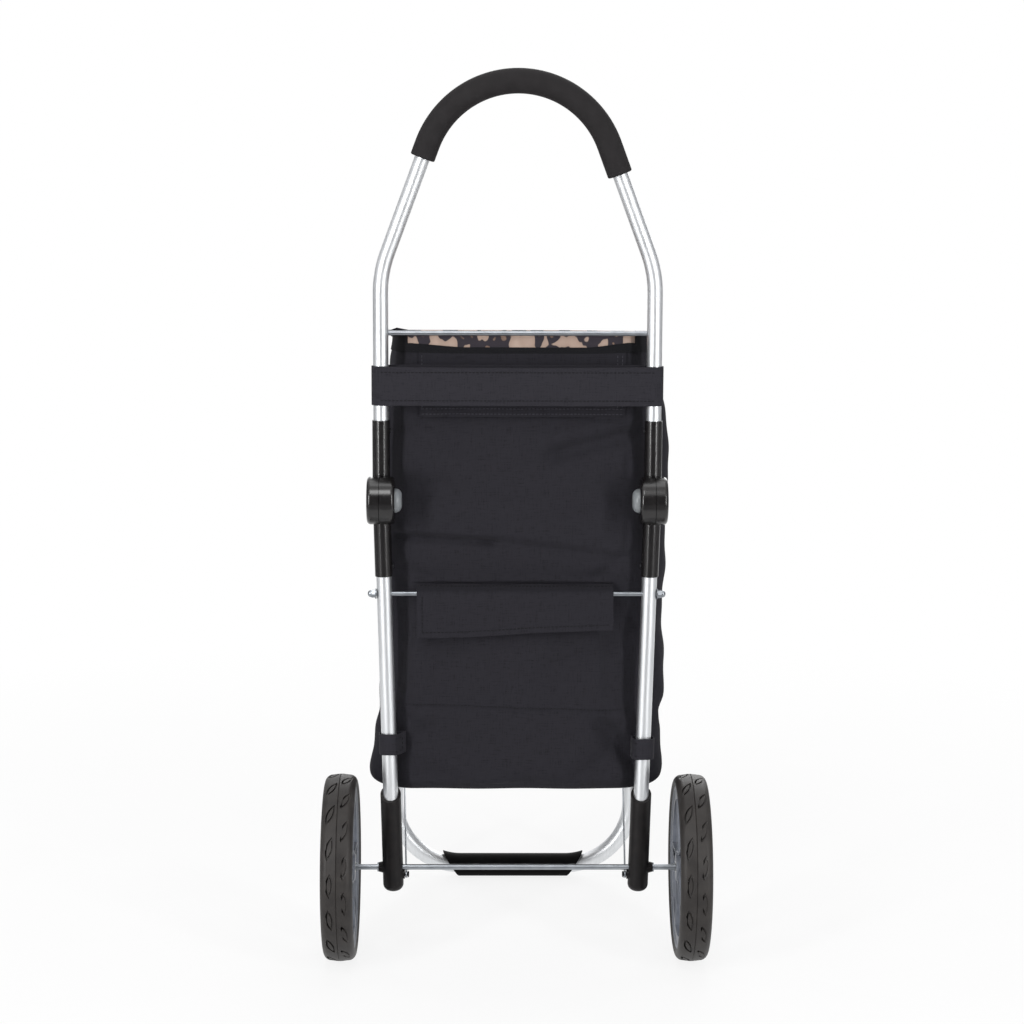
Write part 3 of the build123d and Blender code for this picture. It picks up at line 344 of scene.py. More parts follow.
RODS = ["upper_cross_rod", "mid_cross_rod", "rod_washers", "rod_cap_nuts", "axle", "axle_retainers"]
FINISHES = {
    anodised: ["handle_tube", "front_stand"] + pairs("lower_tube"),
    zinc: RODS + ["stand_rivets"] + pairs("hinge_pin", "button_spring", "stay_wire"),
    black_oxide: ["stay_screws", "stay_rivets", "upper_socket_rivets", "lower_socket_rivets"],
    nylon: pairs("hinge_upper", "hinge_lower"),
    matt_nylon: pairs("boot", "axle_cap"),
    polypropylene: pairs("wheel"),
    button_abs: pairs("hinge_button"),
    acetal: pairs("wheel_bush"),
    tyre_rubber: pairs("tyre"),
    pad_rubber: ["stand_pad"],
    board: ["bag_base_board"],
}
for finish, names in FINISHES.items():
    for name in names:
        dress(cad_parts[name], finish)
print("finished", sum(len(names) for names in FINISHES.values()), "hard pieces")

# %% [markdown]
# ## Cloth finishes
# The bag is black polyester in a plain weave. Its threads are about half a millimetre apart, too fine for a
# picture of the whole trolley, so the weave is drawn three times as coarse. Uneven yarn makes faint pale and
# dark dashes along both directions, and a little sheen catches the light on the folds.
# The lid has a print like a spotted cat's coat: dark broken rings on tan, with brown hearts.
# Both patterns lie on the piece's own UV map, at one unit to the metre.

# %% Weave
THREADS = 1.6 * MM  # from thread to thread, as drawn
YARN_PATCH = 4 * MM


def weave(tree):
    """Height of a plain weave on the UV map, as two crossing waves with one crest for each thread."""
    place = node(tree, "TexCoord").outputs["UV"]
    scale = math.pi / (10 * THREADS)
    warp = node(tree, "TexWave", {"Vector": place, "Scale": scale, "Distortion": 0.4}, bands_direction="X")
    weft = node(tree, "TexWave", {"Vector": place, "Scale": scale, "Distortion": 0.4}, bands_direction="Y")
    both = node(tree, "Math", {0: warp.outputs["Fac"], 1: weft.outputs["Fac"]}, operation="MULTIPLY")
    return both.outputs[0]


def yarn_dashes(tree):
    """Dashes of thick and thin yarn, long one way and narrow the other, for both directions."""
    place = node(tree, "TexCoord").outputs["UV"]
    dashes = []
    for stretch in ((3.2, 0.3, 1), (0.3, 3.2, 1)):
        laid = node(tree, "Mapping", {"Vector": place, "Scale": stretch}).outputs[0]
        yarn = node(tree, "TexNoise", {"Vector": laid, "Scale": 1 / YARN_PATCH, "Detail": 2.0})
        dashes.append(yarn.outputs["Fac"])
    return node(tree, "Math", {0: dashes[0], 1: dashes[1]}, operation="ADD").outputs[0]


def cloth_looks(tree, shader, colour, height, rough, gloss):
    """Colour, shine and raised threads of a cloth."""
    bump = node(tree, "Bump", {"Height": height, "Strength": 0.4, "Distance": 0.2 * MM})
    wire(tree, shader, {"Base Color": colour.outputs["Color"], "Normal": bump.outputs["Normal"]})
    wire(tree, shader, {"Roughness": rough, "Specular IOR Level": gloss})


def woven_finish(name, dark, pale, sheen):
    material, tree, shader = finish_of(name)
    height = node(tree, "Math", {0: weave(tree), 1: 0.22, 2: yarn_dashes(tree)}, operation="MULTIPLY_ADD")
    # The colour follows the height: the uneven yarn gives its own pale and dark dashes, and the hollows between
    # the threads are darker as painted shade.
    colour = node(tree, "ValToRGB", {"Fac": height.outputs[0]}, [(0.7, dark), (1.0, pale)])
    cloth_looks(tree, shader, colour, height.outputs[0], rough=0.82, gloss=0.1)
    wire(tree, shader, {"Sheen Weight": sheen, "Sheen Roughness": 0.45})
    return material


bag_cloth = woven_finish("Black woven polyester", "#1c1b1f", "#252429", 0.03)
strap_cloth = woven_finish("Black polyester strap", "#201f24", "#2a292e", 0.04)
# The binding tape is the darkest cloth because its colour holds painted shade, for the recess behind the strap
# where shade falls.
binding_painted_shade = woven_finish("Black polyester binding", "#131316", "#19191c", 0.02)
thread_finish = hard_finish("Black polyester thread", "#0f0f11", "#19191c", (0.6, 0.8), 4 * MM, gloss=0.15)
# The patch's stitches are a paler grey as a painted highlight, for the light that its stitched edges catch.
thread_painted_highlight = hard_finish("Grey polyester thread", "#302f35", "#3b3a40", (0.6, 0.8), 4 * MM, gloss=0.15)

# %% Spotted print


def spotted_finish(name, spacing):
    """Woven polyester printed like a spotted cat's coat, with its spots this far apart."""
    material, tree, shader = finish_of(name)
    flat = node(tree, "TexCoord").outputs["UV"]
    place = node(tree, "Mapping", {"Vector": flat, "Scale": (1.15, 0.8, 1)}).outputs[0]
    wobble = node(tree, "TexNoise", {"Vector": place, "Scale": 1.1 / spacing, "Detail": 1.0}).outputs["Color"]
    shake = node(tree, "VectorMath", {0: wobble, 1: (0.5, 0.5, 0.5)}, operation="SUBTRACT").outputs[0]
    shake = node(tree, "VectorMath", {0: shake, "Scale": 0.6 * spacing}, operation="SCALE").outputs[0]
    moved = node(tree, "VectorMath", {0: place, 1: shake}, operation="ADD").outputs[0]
    cells = {"Vector": moved, "Scale": 1 / spacing, "Randomness": 0.8, "Smoothness": 0.3}
    spots = node(tree, "TexVoronoi", cells, voronoi_dimensions="2D", feature="SMOOTH_F1").outputs["Distance"]
    gaps = node(tree, "TexNoise", {"Vector": place, "Scale": 1.7 / spacing, "Detail": 0.5}).outputs["Fac"]
    broken = node(tree, "Math", {0: gaps, 1: 0.8, 2: -0.36}, operation="MULTIPLY_ADD").outputs[0]
    reach = node(tree, "Math", {0: spots, 1: broken}, operation="ADD").outputs[0]
    heart, ring = [(0.0, "#866f62"), (0.11, "#755f53")], [(0.15, "#2f2a31"), (0.47, "#2f2a31")]
    coat = node(tree, "ValToRGB", {"Fac": reach}, heart + ring + [(0.5, "#a48e81"), (1.0, "#b39d90")])
    cloth_looks(tree, shader, coat, weave(tree), rough=0.78, gloss=0.3)
    return material


spotted = spotted_finish("Printed woven polyester", 19 * MM)
print("cloth finishes:", bag_cloth.name, strap_cloth.name, spotted.name)

# %% [markdown]
# ## The bag
# A sewn bag could start from five flat panels, but then it would look like a box of plates. Here it starts
# as one block without a top. Its corners are bevelled round, and planes cut it into a grid of small faces.
# The front face gets the print before anything bends, because its edges are still straight there.

# %% Block, corners and grid
bag_low, bag_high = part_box("bag_body")
BACK = bag_low.y
MOUTH = bag_high.z
HALF_BLOCK = 150 * MM
BLOCK_DEPTH = 204 * MM
CORNER = 36 * MM
BASE_ROUND = 11 * MM
GRID = 9 * MM


def paint(piece, cloth, test):
    """Gives the faces that pass a test another of the piece's cloths."""
    edit(piece)
    pick(piece, "faces", test)
    piece.active_material_index = piece.data.materials.find(cloth.name)
    bpy.ops.object.material_slot_assign()
    done()


def slice_grid(low, high, direction, step):
    """Cuts everything in edit mode with evenly spaced planes."""
    count = max(round((high - low) / step), 1)
    for i in range(1, count):
        bpy.ops.mesh.select_all(action="SELECT")
        place = Vector(direction) * (low + (high - low) * i / count)
        bpy.ops.mesh.bisect(plane_co=place, plane_no=direction)


clear_selection()
bpy.ops.mesh.primitive_cube_add(size=1, location=(0, BACK + BLOCK_DEPTH / 2, (bag_low.z + MOUTH) / 2))
bag = start("bag_shell", (2 * HALF_BLOCK, BLOCK_DEPTH, MOUTH - bag_low.z))
dress(bag, bag_cloth, spotted)
edit(bag)
pick(bag, "faces", lambda face: face.normal.z > 0.9)
bpy.ops.mesh.delete(type="FACE")
pick(bag, "edges", lambda edge: abs(edge.verts[0].co.z - edge.verts[1].co.z) > 0.1)
bpy.ops.mesh.bevel(offset=CORNER, segments=6, affect="EDGES")
pick(bag, "edges", lambda edge: sum(face.normal.z < -0.9 for face in edge.link_faces) == 1)
bpy.ops.mesh.bevel(offset=BASE_ROUND, segments=4, affect="EDGES")
slice_grid(bag_low.z + BASE_ROUND, MOUTH, (0, 0, 1), GRID)
slice_grid(CORNER - HALF_BLOCK, HALF_BLOCK - CORNER, (1, 0, 0), GRID)
slice_grid(BACK + CORNER, BACK + BLOCK_DEPTH - CORNER, (0, 1, 0), GRID)
paint(bag, spotted, lambda face: face.normal.y > 0.7 and face.calc_center_median().z > bag_low.z + BASE_ROUND)
print("bag grid:", len(bag.data.vertices), "points")

# %% [markdown]
# The grid is drawn to the bag's real outline: narrow at the top edge, wide in the middle, pinched by the two
# webbing loops and full at the bottom. It hangs a few millimetres to the right. The back panel swells above
# and below the flap and turns forward sharply beside the tubes, and the mouth slopes down to the front.

# %% Outline
# Heights with the half width, the shift to the right and the depth of the bag there.
HALF_WIDTHS = [(0.179, 0.157), (0.185, 0.1605), (0.205, 0.158), (0.236, 0.1555), (0.275, 0.160), (0.35, 0.1585)]
HALF_WIDTHS += [(0.45, 0.160), (0.57, 0.162), (0.677, 0.136)]
DRIFTS = [(0.179, 0.0), (0.24, 0.0025), (0.30, 0.0065), (0.42, 0.0055), (0.57, 0.0065), (0.677, 0.0045)]
DEPTHS = [(0.179, 0.204), (0.42, 0.212), (0.677, 0.200)]
MOUTH_FALL = 25 * MM
PANEL_EDGE, PANEL_BEND, PANEL_TURN = 0.113, 0.022, 11 * MM
SWELL_ABOVE, SWELL_BELOW = 6.5, 6.0  # millimetres, above and below the flap


def ease(low, high, value):
    """0 before low, 1 after high and a smooth rise between them."""
    share = min(max((value - low) / (high - low), 0.0), 1.0)
    return share * share * (3 - 2 * share)


def at_height(stations, height):
    """Value at a height, eased between the stations of an outline."""
    for (low, first), (high, second) in zip(stations, stations[1:]):
        if height <= high:
            return first + (second - first) * ease(low, high, height)
    return stations[-1][1]


def swell(low, high, z):
    """A hump between two heights."""
    return math.sin(math.pi * min(max((z - low) / (high - low), 0), 1))


def bag_point(point):
    x = point.x * at_height(HALF_WIDTHS, point.z) / HALF_BLOCK + at_height(DRIFTS, point.z)
    y = BACK + (point.y - BACK) * at_height(DEPTHS, point.z) / BLOCK_DEPTH
    z = point.z
    from_back = point.y - BACK
    rear = 1 - ease(0.0, 0.05, from_back)
    middle = 1 - ease(0.085, 0.122, abs(x))
    y -= rear * middle * (SWELL_ABOVE * swell(0.410, 0.593, z) + SWELL_BELOW * swell(0.190, 0.404, z)) * MM
    y += (1 - ease(0.02, 0.12, from_back)) * ease(PANEL_EDGE, PANEL_EDGE + PANEL_BEND, abs(x)) * PANEL_TURN
    y += rear * ease(0.580, 0.598, z) * 1.6 * MM
    flank = ease(0.118, 0.150, abs(x))  # soft waves up the sides
    x += math.copysign(flank, x) * (1.3 * math.sin(z * 61 + 0.7) + 0.9 * math.sin(z * 143 + point.y * 40)) * MM
    front = ease(0.09, 0.116, point.y)  # and over the front
    y += front * (1.5 * math.sin(z * 37 + x * 21) + 1.0 * math.sin(z * 83 - x * 35)) * MM
    lowest = (1 - ease(0.18, 0.205, z)) * (1 - ease(0.0, 0.014, from_back))  # the lower rear edge is drawn up
    z += lowest * (4.5 + 1.2 * math.sin(x * 62 + 1)) * MM
    top = ease(0.60, MOUTH, point.z)  # the mouth slopes to the front, and a little to the right
    z -= top * (0.9 * MM + MOUTH_FALL * from_back / BLOCK_DEPTH + 0.6 * MM * ease(0.04, 0.12, x))
    return Vector((x, y, z))


for vertex in bag.data.vertices:
    vertex.co = bag_point(vertex.co)
print("bag outline:", [tuple(round(v, 3) for v in corner) for corner in (bag.bound_box[0], bag.bound_box[6])])

# %% [markdown]
# Cloth simulation lets the sewn shell hang and settle from the places where it is held: the top edge, the
# bottom, the sewn line of the flap and the two webbing loops. The cloth is slightly larger than its panels, so
# it buckles softly. No point may go far from the drawn shape. The simulation doesn't repeat itself exactly:
# single points can differ by two or three millimetres from run to run.

# %% Let the cloth settle
drawn = [vertex.co.copy() for vertex in bag.data.vertices]
FLAP_SEAM = 0.4075
LOOP_HEIGHT = 0.2335
HELD_ABOVE, HELD_BELOW = 0.642, 0.192
SETTLE_FRAMES = 24
MOST = 6 * MM  # that a point may move
sewn = bag.vertex_groups.new(name="sewn")
for vertex in bag.data.vertices:
    x, y, z = vertex.co
    held = z > HELD_ABOVE or z < HELD_BELOW
    held = held or (abs(z - FLAP_SEAM) < 6 * MM and abs(x) < 0.106 and y < BACK + 20 * MM)
    held = held or (abs(z - LOOP_HEIGHT) < 13 * MM and abs(x) > 0.112 and y < BACK + 40 * MM)
    sewn.add([vertex.index], 1.0 if held else 0.0, "REPLACE")
cloth = bag.modifiers.new("Cloth", "CLOTH")
cloth.settings.vertex_group_mass = "sewn"
cloth.settings.quality = 6
cloth.settings.mass = 0.25
cloth.settings.tension_stiffness = cloth.settings.compression_stiffness = 25
cloth.settings.shear_stiffness = 10
cloth.settings.bending_stiffness = 0.6
cloth.settings.shrink_min = -0.010
cloth.collision_settings.use_collision = False
cloth.point_cache.frame_start, cloth.point_cache.frame_end = 1, SETTLE_FRAMES
for number in range(1, SETTLE_FRAMES + 1):
    scene.frame_set(number)
clear_selection()
bpy.context.view_layer.objects.active = bag
bpy.ops.object.modifier_apply(modifier="Cloth")
scene.frame_set(1)
for vertex, old in zip(bag.data.vertices, drawn):
    move = vertex.co - old
    vertex.co = old + move * min(1.0, MOST / max(move.length, 1e-9))
moves = [(vertex.co - old).length for vertex, old in zip(bag.data.vertices, drawn)]
print("largest move", round(max(moves) / MM, 1), "mm")

# %% [markdown]
# The settled grid is smoothed once by subdivision, and the back panel is divided once more, because the
# camera looks straight at it. The creases that the photo shows are then pressed in one by one: each is a
# narrow groove with a low ridge beside it, as cloth has where it folds over. Last, the panel is kept clear of
# the tubes.

# %% Creases
# Each crease has its two ends, across and up, and its depth and width in millimetres.
CREASES = [
    ((-0.126, 0.459), (-0.030, 0.4525), 5.5, 4.5),
    ((-0.030, 0.4525), (0.100, 0.437), 3.2, 6),
    ((0.122, 0.570), (0.046, 0.548), 6.0, 8),
    ((0.046, 0.548), (0.000, 0.527), 1.6, 10),
    ((-0.128, 0.508), (-0.090, 0.512), 6.0, 15),
    ((-0.090, 0.506), (-0.005, 0.496), 1.8, 9),
    ((0.126, 0.498), (0.112, 0.505), 6.0, 15),
    ((0.112, 0.488), (0.050, 0.478), 1.6, 9),
    ((-0.118, 0.572), (-0.060, 0.556), 1.6, 9),
    ((0.126, 0.210), (0.096, 0.250), 8.5, 10),
    ((-0.122, 0.229), (-0.098, 0.246), 2.5, 8),
    ((-0.116, 0.2750), (0.000, 0.2708), 1.2, 2.2),
    ((0.000, 0.2708), (0.118, 0.2690), 1.2, 2.2),
    ((-0.110, 0.352), (-0.030, 0.318), 2.0, 12),
    ((0.118, 0.350), (0.040, 0.316), 3.4, 12),
    ((0.090, 0.420), (0.118, 0.440), 2.6, 6),
    ((-0.100, 0.416), (-0.124, 0.430), 2.2, 6),
    ((-0.105, 0.4075), (0.101, 0.4075), 3.2, 2.0),
    ((-0.103, 0.5862), (0.113, 0.5862), 1.6, 1.8),
]
apply(bag, "SMOOTH", factor=0.4, iterations=1)
apply(bag, "SUBSURF", levels=1, render_levels=1)
edit(bag)
pick(bag, "faces", lambda face: face.calc_center_median().y < BACK + 14 * MM and face.normal.y < -0.2)
bpy.ops.mesh.subdivide(number_cuts=1, smoothness=0.6)
done()


def off_line(x, z, first, last):
    """Distance on the back panel from a straight crease, positive above it, and the distance past its ends."""
    run_x, run_z = last[0] - first[0], last[1] - first[1]
    length = math.hypot(run_x, run_z)
    share = ((x - first[0]) * run_x + (z - first[1]) * run_z) / length**2
    past = length * max(-share, share - 1, 0)
    across = ((z - first[1]) * run_x - (x - first[0]) * run_z) / length
    return across * (1 if run_x > 0 else -1), past


def pressed(x, z):
    """Depth of all creases at a place on the back panel."""
    depth = 0.0
    for first, last, deep, width in CREASES:
        across, past = off_line(x, z, first, last)
        width *= MM
        groove = math.exp(-((across / width) ** 2))
        ridge = 0.45 * math.exp(-(((across - 2 * width) / (1.2 * width)) ** 2))
        depth += deep * MM * (groove - ridge) * math.exp(-((past / (2 * width)) ** 2))
    return depth


MOST_SWELL = 8.3 * MM  # between the tubes
for vertex in bag.data.vertices:
    x, y, z = vertex.co
    vertex.co.y += pressed(x, z) * (1 - ease(BACK + 2 * MM, BACK + 40 * MM, y))
    room = MOST_SWELL * (1 - ease(0.102, 0.118, abs(x))) * (1 - ease(0.565, 0.59, z))
    vertex.co.y = max(vertex.co.y, BACK + 0.3 * MM - room)
print("creases:", len(CREASES), "on", len(bag.data.vertices), "points")

# %% [markdown]
# Two pieces are lifted off the shell: the black band that binds the top edge, and the patch behind the strap.
# Cutting the shell along their edges first and copying its faces makes them follow every fold. The strip of
# print above the band, at the back, stays on the shell. All pieces get a thickness and a UV map for the weave.

# %% Shell, band and patch
PATCH_LEFT, PATCH_RIGHT, PATCH_BOTTOM = -0.103, 0.113, 0.588
HEM = 0.6535
PRINT_EDGE = 0.661
PRINT_SIDES = (-0.115, 0.1235)


def lift_off(name, test):
    """Copies the chosen faces of the shell as a new piece."""
    edit(bag)
    pick(bag, "faces", test)
    bpy.ops.mesh.duplicate()
    bpy.ops.mesh.separate(type="SELECTED")
    done()
    piece = next(other for other in bpy.context.selected_objects if other != bag)
    piece.name = piece.data.name = name
    return piece


def cut(piece, place, direction):
    """Cuts a piece through with one plane."""
    edit(piece, "SELECT")
    bpy.ops.mesh.bisect(plane_co=place, plane_no=direction)
    done()


def cloth_uv(piece):
    """Box-projects the piece's UV map at one unit to the metre."""
    edit(piece, "SELECT")
    bpy.ops.uv.cube_project(cube_size=1.0)
    done()


def thicken(piece, thickness, offset, lining=0):
    """Gives a piece of cloth its thickness. A lining is the step to the new face's cloth."""
    apply(piece, "SOLIDIFY", thickness=thickness, offset=offset, material_offset=lining)
    tidy(piece, 50)
    cloth_uv(piece)


def in_patch(face):
    middle = face.calc_center_median()
    between = PATCH_LEFT < middle.x < PATCH_RIGHT and PATCH_BOTTOM < middle.z < HEM
    return between and middle.y < BACK + 9 * MM


def in_print(face):
    middle = face.calc_center_median()
    at_back = middle.y < BACK + 12 * MM and middle.z > PRINT_EDGE
    return at_back and PRINT_SIDES[0] < middle.x < PRINT_SIDES[1]


def is_band(face):
    return face.calc_center_median().z > HEM and face.material_index == 0


for edge in (PATCH_LEFT, PATCH_RIGHT, *PRINT_SIDES):
    cut(bag, (edge, 0, 0), (1, 0, 0))
for height in (PATCH_BOTTOM, HEM, PRINT_EDGE):
    cut(bag, (0, 0, height), (0, 0, 1))
paint(bag, spotted, in_print)
# The lower edge of the print rises towards both sides.
for vertex in bag.data.vertices:
    x, y, z = vertex.co
    lift = 4 * MM * (1 - ease(-0.116, -0.05, x)) + 5 * MM * ease(0.07, 0.122, x) - 1 * MM
    near = math.exp(-(((z - PRINT_EDGE) / (7 * MM)) ** 2)) * (1 - ease(BACK + 4 * MM, BACK + 20 * MM, y))
    vertex.co.z += lift * near
hem = lift_off("bag_hem", is_band)
patch = lift_off("bag_patch", in_patch)
thicken(hem, 1.2 * MM, 1)
thicken(patch, 2.0 * MM, 1)
thicken(bag, 1.4 * MM, -1, lining=-1)
# The top band gets the binding cloth, whose dark colour is painted shade.
dress(hem, binding_painted_shade)
dress(patch, bag_cloth)
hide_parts("bag_body")
for piece in (bag, hem, patch):
    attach(piece, "frame")
print("faces of bag, hem and patch:", [len(piece.data.polygons) for piece in (bag, hem, patch)])

# %% [markdown]
# ## Stitches
# Every seam shows a row of thread. One stitch is modelled as a small block with its edges cut off, which is
# enough for something so small. It is copied along a row, a ray finds the cloth under each copy,
# and all the stitches of one piece of cloth are joined.

# %% One stitch and the sewing tool
STITCH = (0.9 * MM, 2.7 * MM, 0.6 * MM)
STITCH_EDGE = 0.24 * MM
STITCH_LIFT = 0.12 * MM
STITCH_STEP = 4 * MM
RAY = 30 * MM  # from the row to the cloth, on either side
IN, OUT, DOWN = (0, 1, 0), (0, -1, 0), (0, 0, -1)
clear_selection()
bpy.ops.mesh.primitive_cube_add(size=1)
stitch = start("stitch", STITCH)
dress(stitch, thread_finish)
edit(stitch, "SELECT")
bpy.ops.mesh.bevel(offset=STITCH_EDGE, segments=1, affect="EDGES")
done()


def sew(name, cloth, rows, look=IN, body="frame"):
    """Sews rows of stitches from point to point, where a ray along `look` meets the cloth."""
    look = Vector(look)
    bpy.context.view_layer.update()
    clear_selection()
    made = []
    for first, last in rows:
        first, run = Vector(first), Vector(last) - Vector(first)
        count = max(round(run.length / STITCH_STEP), 1)
        for i in range(count):
            spot = first + run * (i + 0.5) / count
            hit, place, normal, _ = cloth.ray_cast(spot - look * RAY, look, distance=2 * RAY)
            if not hit:
                continue
            way = (run - normal * run.dot(normal)).normalized()
            copy = bpy.data.objects.new(name, stitch.data.copy())
            turn = Matrix((way.cross(normal), way, normal)).transposed().to_4x4()
            copy.matrix_world = Matrix.Translation(place + normal * STITCH_LIFT) @ turn
            scene.collection.objects.link(copy)
            copy.select_set(True)
            made.append(copy)
    bpy.context.view_layer.objects.active = made[0]
    bpy.ops.object.join()
    row = start(name)
    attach(row, body)
    print(name, len(made), "stitches")
    return row


def back_row(first_x, first_z, last_x, last_z):
    """A row of stitches on the back of the bag."""
    return (first_x, BACK, first_z), (last_x, BACK, last_z)


patch_rows = []
for height in (PATCH_BOTTOM + 2 * MM, PATCH_BOTTOM + 7.5 * MM):
    patch_rows.append(back_row(PATCH_LEFT + 2 * MM, height, PATCH_RIGHT - 2 * MM, height))
for x in (PATCH_LEFT + 3 * MM, PATCH_RIGHT - 3 * MM, PATCH_RIGHT - 8 * MM):
    patch_rows.append(back_row(x, PATCH_BOTTOM + 8 * MM, x, HEM - 1 * MM))
patch_thread = sew("patch_stitches", patch, patch_rows)
# Its stitches take the pale thread, whose colour is a painted highlight.
dress(patch_thread, thread_painted_highlight)
hem_thread = sew("hem_stitches", hem, [back_row(-0.118, HEM + 3 * MM, 0.124, HEM + 3 * MM)])
seam_rows = [back_row(-0.112, 0.2777, 0.0, 0.2735), back_row(0.0, 0.2735, 0.114, 0.2717)]
seam_thread = sew("seam_stitches", bag, seam_rows)

# %% [markdown]
# ## Cut and folded cloth
# The lid, the straps and the flap are flat strips before they are sewn, so each is cut flat on the floor, gets
# its UV map there, and is then folded along a path. A path is a short list of points with true arcs in it,
# and a point of the cloth goes as far along the path as it lies along the strip.

# %% Tools for strips


def cut_strip(name, width, length, step, cloth):
    """A flat strip cut into a grid, its length along Y, with its UV map in metres."""
    clear_selection()
    bpy.ops.mesh.primitive_plane_add(size=1, location=(0, length / 2, 0))
    strip = start(name, (width, length, 1))
    dress(strip, cloth)
    edit(strip)
    slice_grid(0, length, (0, 1, 0), step)
    slice_grid(-width / 2, width / 2, (1, 0, 0), step)
    done()
    cloth_uv(strip)
    return strip


def arc(centre, radius, first, last, count=10):
    """Points on an arc, angles in degrees."""
    turns = [math.radians(first + (last - first) * i / count) for i in range(count + 1)]
    return [Vector((centre[0] + radius * math.cos(t), centre[1] + radius * math.sin(t))) for t in turns]


def length_of(path):
    return sum((b - a).length for a, b in zip(path, path[1:]))


def along(path, distance):
    """The point this far along a path."""
    for a, b in zip(path, path[1:]):
        run = (b - a).length
        if distance <= run:
            return a.lerp(b, distance / run)
        distance -= run
    return path[-1]


def fold(strip, path, place):
    """Folds a flat strip: `place` turns a point of the path and a place across it into a point in space."""
    for vertex in strip.data.vertices:
        vertex.co = place(along(path, vertex.co.y), vertex.co.x, vertex.co.y)


def finish_strip(strip, thickness, body, lining=0):
    """Gives a folded strip its thickness and soft edges. A lining is the step to the inner face's cloth."""
    apply(strip, "SOLIDIFY", thickness=thickness, offset=0, material_offset=lining)
    tidy(strip, 60)
    apply(strip, "BEVEL", width=0.3 * thickness, segments=2, limit_method="ANGLE", angle_limit=math.radians(50))
    tidy(strip, 50)
    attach(strip, body)
    print(strip.name, len(strip.data.polygons), "faces")


# %% [markdown]
# ## Top strap
# One band of polyester goes round both upper tubes and closes on itself. Its path is a long slot, seen from
# above. The back run sags by about a millimetre between the tubes, and both its edges are sewn down.

# %% Top strap
strap_low, strap_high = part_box("bag_top_strap")
TUBE_Y = (strap_low.y + strap_high.y) / 2
STRAP = 1.8 * MM
bend = (strap_high.y - strap_low.y) / 2 - STRAP / 2
reach = strap_high.x - bend - STRAP / 2
slot_path = [Vector((0, TUBE_Y + bend))]
slot_path += arc((reach, TUBE_Y), bend, 90, -90)
slot_path += arc((-reach, TUBE_Y), bend, -90, -270)
slot_path += [Vector((0, TUBE_Y + bend))]
STRAP_WIDTH = strap_high.z - strap_low.z
STRAP_LENGTH = length_of(slot_path)
strap = cut_strip("bag_strap", STRAP_WIDTH, STRAP_LENGTH, 4 * MM, strap_cloth)
SEWN_EDGE = 5.5 * MM


def strap_place(point, across, distance):
    height = (strap_low.z + strap_high.z) / 2 + across
    rear = ease(0.0, 4 * MM, TUBE_Y - point.y)
    height -= rear * 1.2 * MM * math.cos(point.x * 11) * ease(-0.02, 0.02, across)
    ripple = 0.7 * MM * math.sin(point.x * 47 + across * 60) + 0.5 * MM * math.sin(point.x * 95 - across * 90)
    pull = 0.9 * MM * math.exp(-(((STRAP_WIDTH / 2 - abs(across) - SEWN_EDGE) / (1.5 * MM)) ** 2))
    inner = 1 - ease(0.11, 0.14, abs(point.x))
    return Vector((point.x, point.y - rear * inner * abs(ripple) + rear * pull, height))


fold(strap, slot_path, strap_place)
tidy(strap)  # sews its two ends together, so no end face is left inside
finish_strip(strap, STRAP, "handle")
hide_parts("bag_top_strap")
strap_rows = []
for height in (strap_low.z + SEWN_EDGE, strap_high.z - SEWN_EDGE - 0.6 * MM):
    strap_rows.append(((-0.143, TUBE_Y - bend, height), (0.143, TUBE_Y - bend, height)))
strap_thread = sew("strap_stitches", strap, strap_rows, body="handle")

# %% [markdown]
# ## Rod flap
# The flap is sewn to the bag's back, folded over the middle rod, and its end hangs behind the rod. Its path
# starts at the seam. The hanging end is cut slanted, longer at the left, and its right corner lifts away.

# %% Rod flap
flap_low, flap_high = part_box("bag_rod_flap")
rod_low, rod_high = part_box("mid_cross_rod")
ROD = Vector(((rod_low.y + rod_high.y) / 2, (rod_low.z + rod_high.z) / 2))
FLAP = 1.5 * MM
over = rod_high.z - ROD.y + 1.1 * MM
FLAP_SLANT = 11 * MM
flap_path = [Vector((BACK - 1.2 * MM, FLAP_SEAM)), Vector((BACK - 5 * MM, FLAP_SEAM - 1 * MM))]
flap_path += [Vector((BACK - 9 * MM, ROD.y + over + 1 * MM))]
flap_path += arc(ROD, over, 80, 180)
flap_path += [Vector((ROD.x - over, flap_low.z - 1 * MM))]
FLAP_WIDTH = flap_high.x - flap_low.x
FLAP_LENGTH = length_of(flap_path)
flap = cut_strip("bag_flap", FLAP_WIDTH, FLAP_LENGTH, 4 * MM, bag_cloth)


def flap_place(point, across, distance):
    x = (flap_low.x + flap_high.x) / 2 - 0.7 * MM + across
    y, z = point
    hang = ease(0.0, 42 * MM, ROD.y - z)
    z += hang * (FLAP_SLANT * ease(-0.09, 0.13, x) - 4.5 * MM)
    curl = ease(0.0, 0.10, x) * hang * hang
    y -= curl * 9 * MM - hang * (1.5 + 0.8 * math.sin(x * 36 + 2)) * MM
    z += 0.6 * MM * math.sin(x * 80) * (1 - hang) * ease(BACK - 9 * MM, BACK - 4 * MM, y)
    return Vector((x, y, z))


fold(flap, flap_path, flap_place)
finish_strip(flap, FLAP, "frame")
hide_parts("bag_rod_flap")


def flap_hem(x):
    """Height of the row of stitches above the flap's slanted edge."""
    return flap_low.z + 0.5 * MM + FLAP_SLANT * ease(-0.09, 0.13, x)


HEM_BENDS = [-0.101, -0.06, -0.02, 0.02, 0.06, 0.098]
flap_rows = [back_row(a, flap_hem(a), b, flap_hem(b)) for a, b in zip(HEM_BENDS, HEM_BENDS[1:])]
flap_rows += [back_row(-0.1, flap_hem(-0.1), -0.1, ROD.y - 2 * MM)]
flap_rows += [back_row(-0.103, FLAP_SEAM - 0.5 * MM, 0.101, FLAP_SEAM - 0.5 * MM)]
flap_thread = sew("flap_stitches", flap, flap_rows)

# %% [markdown]
# ## Webbing loops
# A short strip of webbing goes round each lower tube, and its two ends are sewn to the bag beside the tube.
# Seen from above the path is a drop: two straight runs from the seam, touching a circle round the tube.

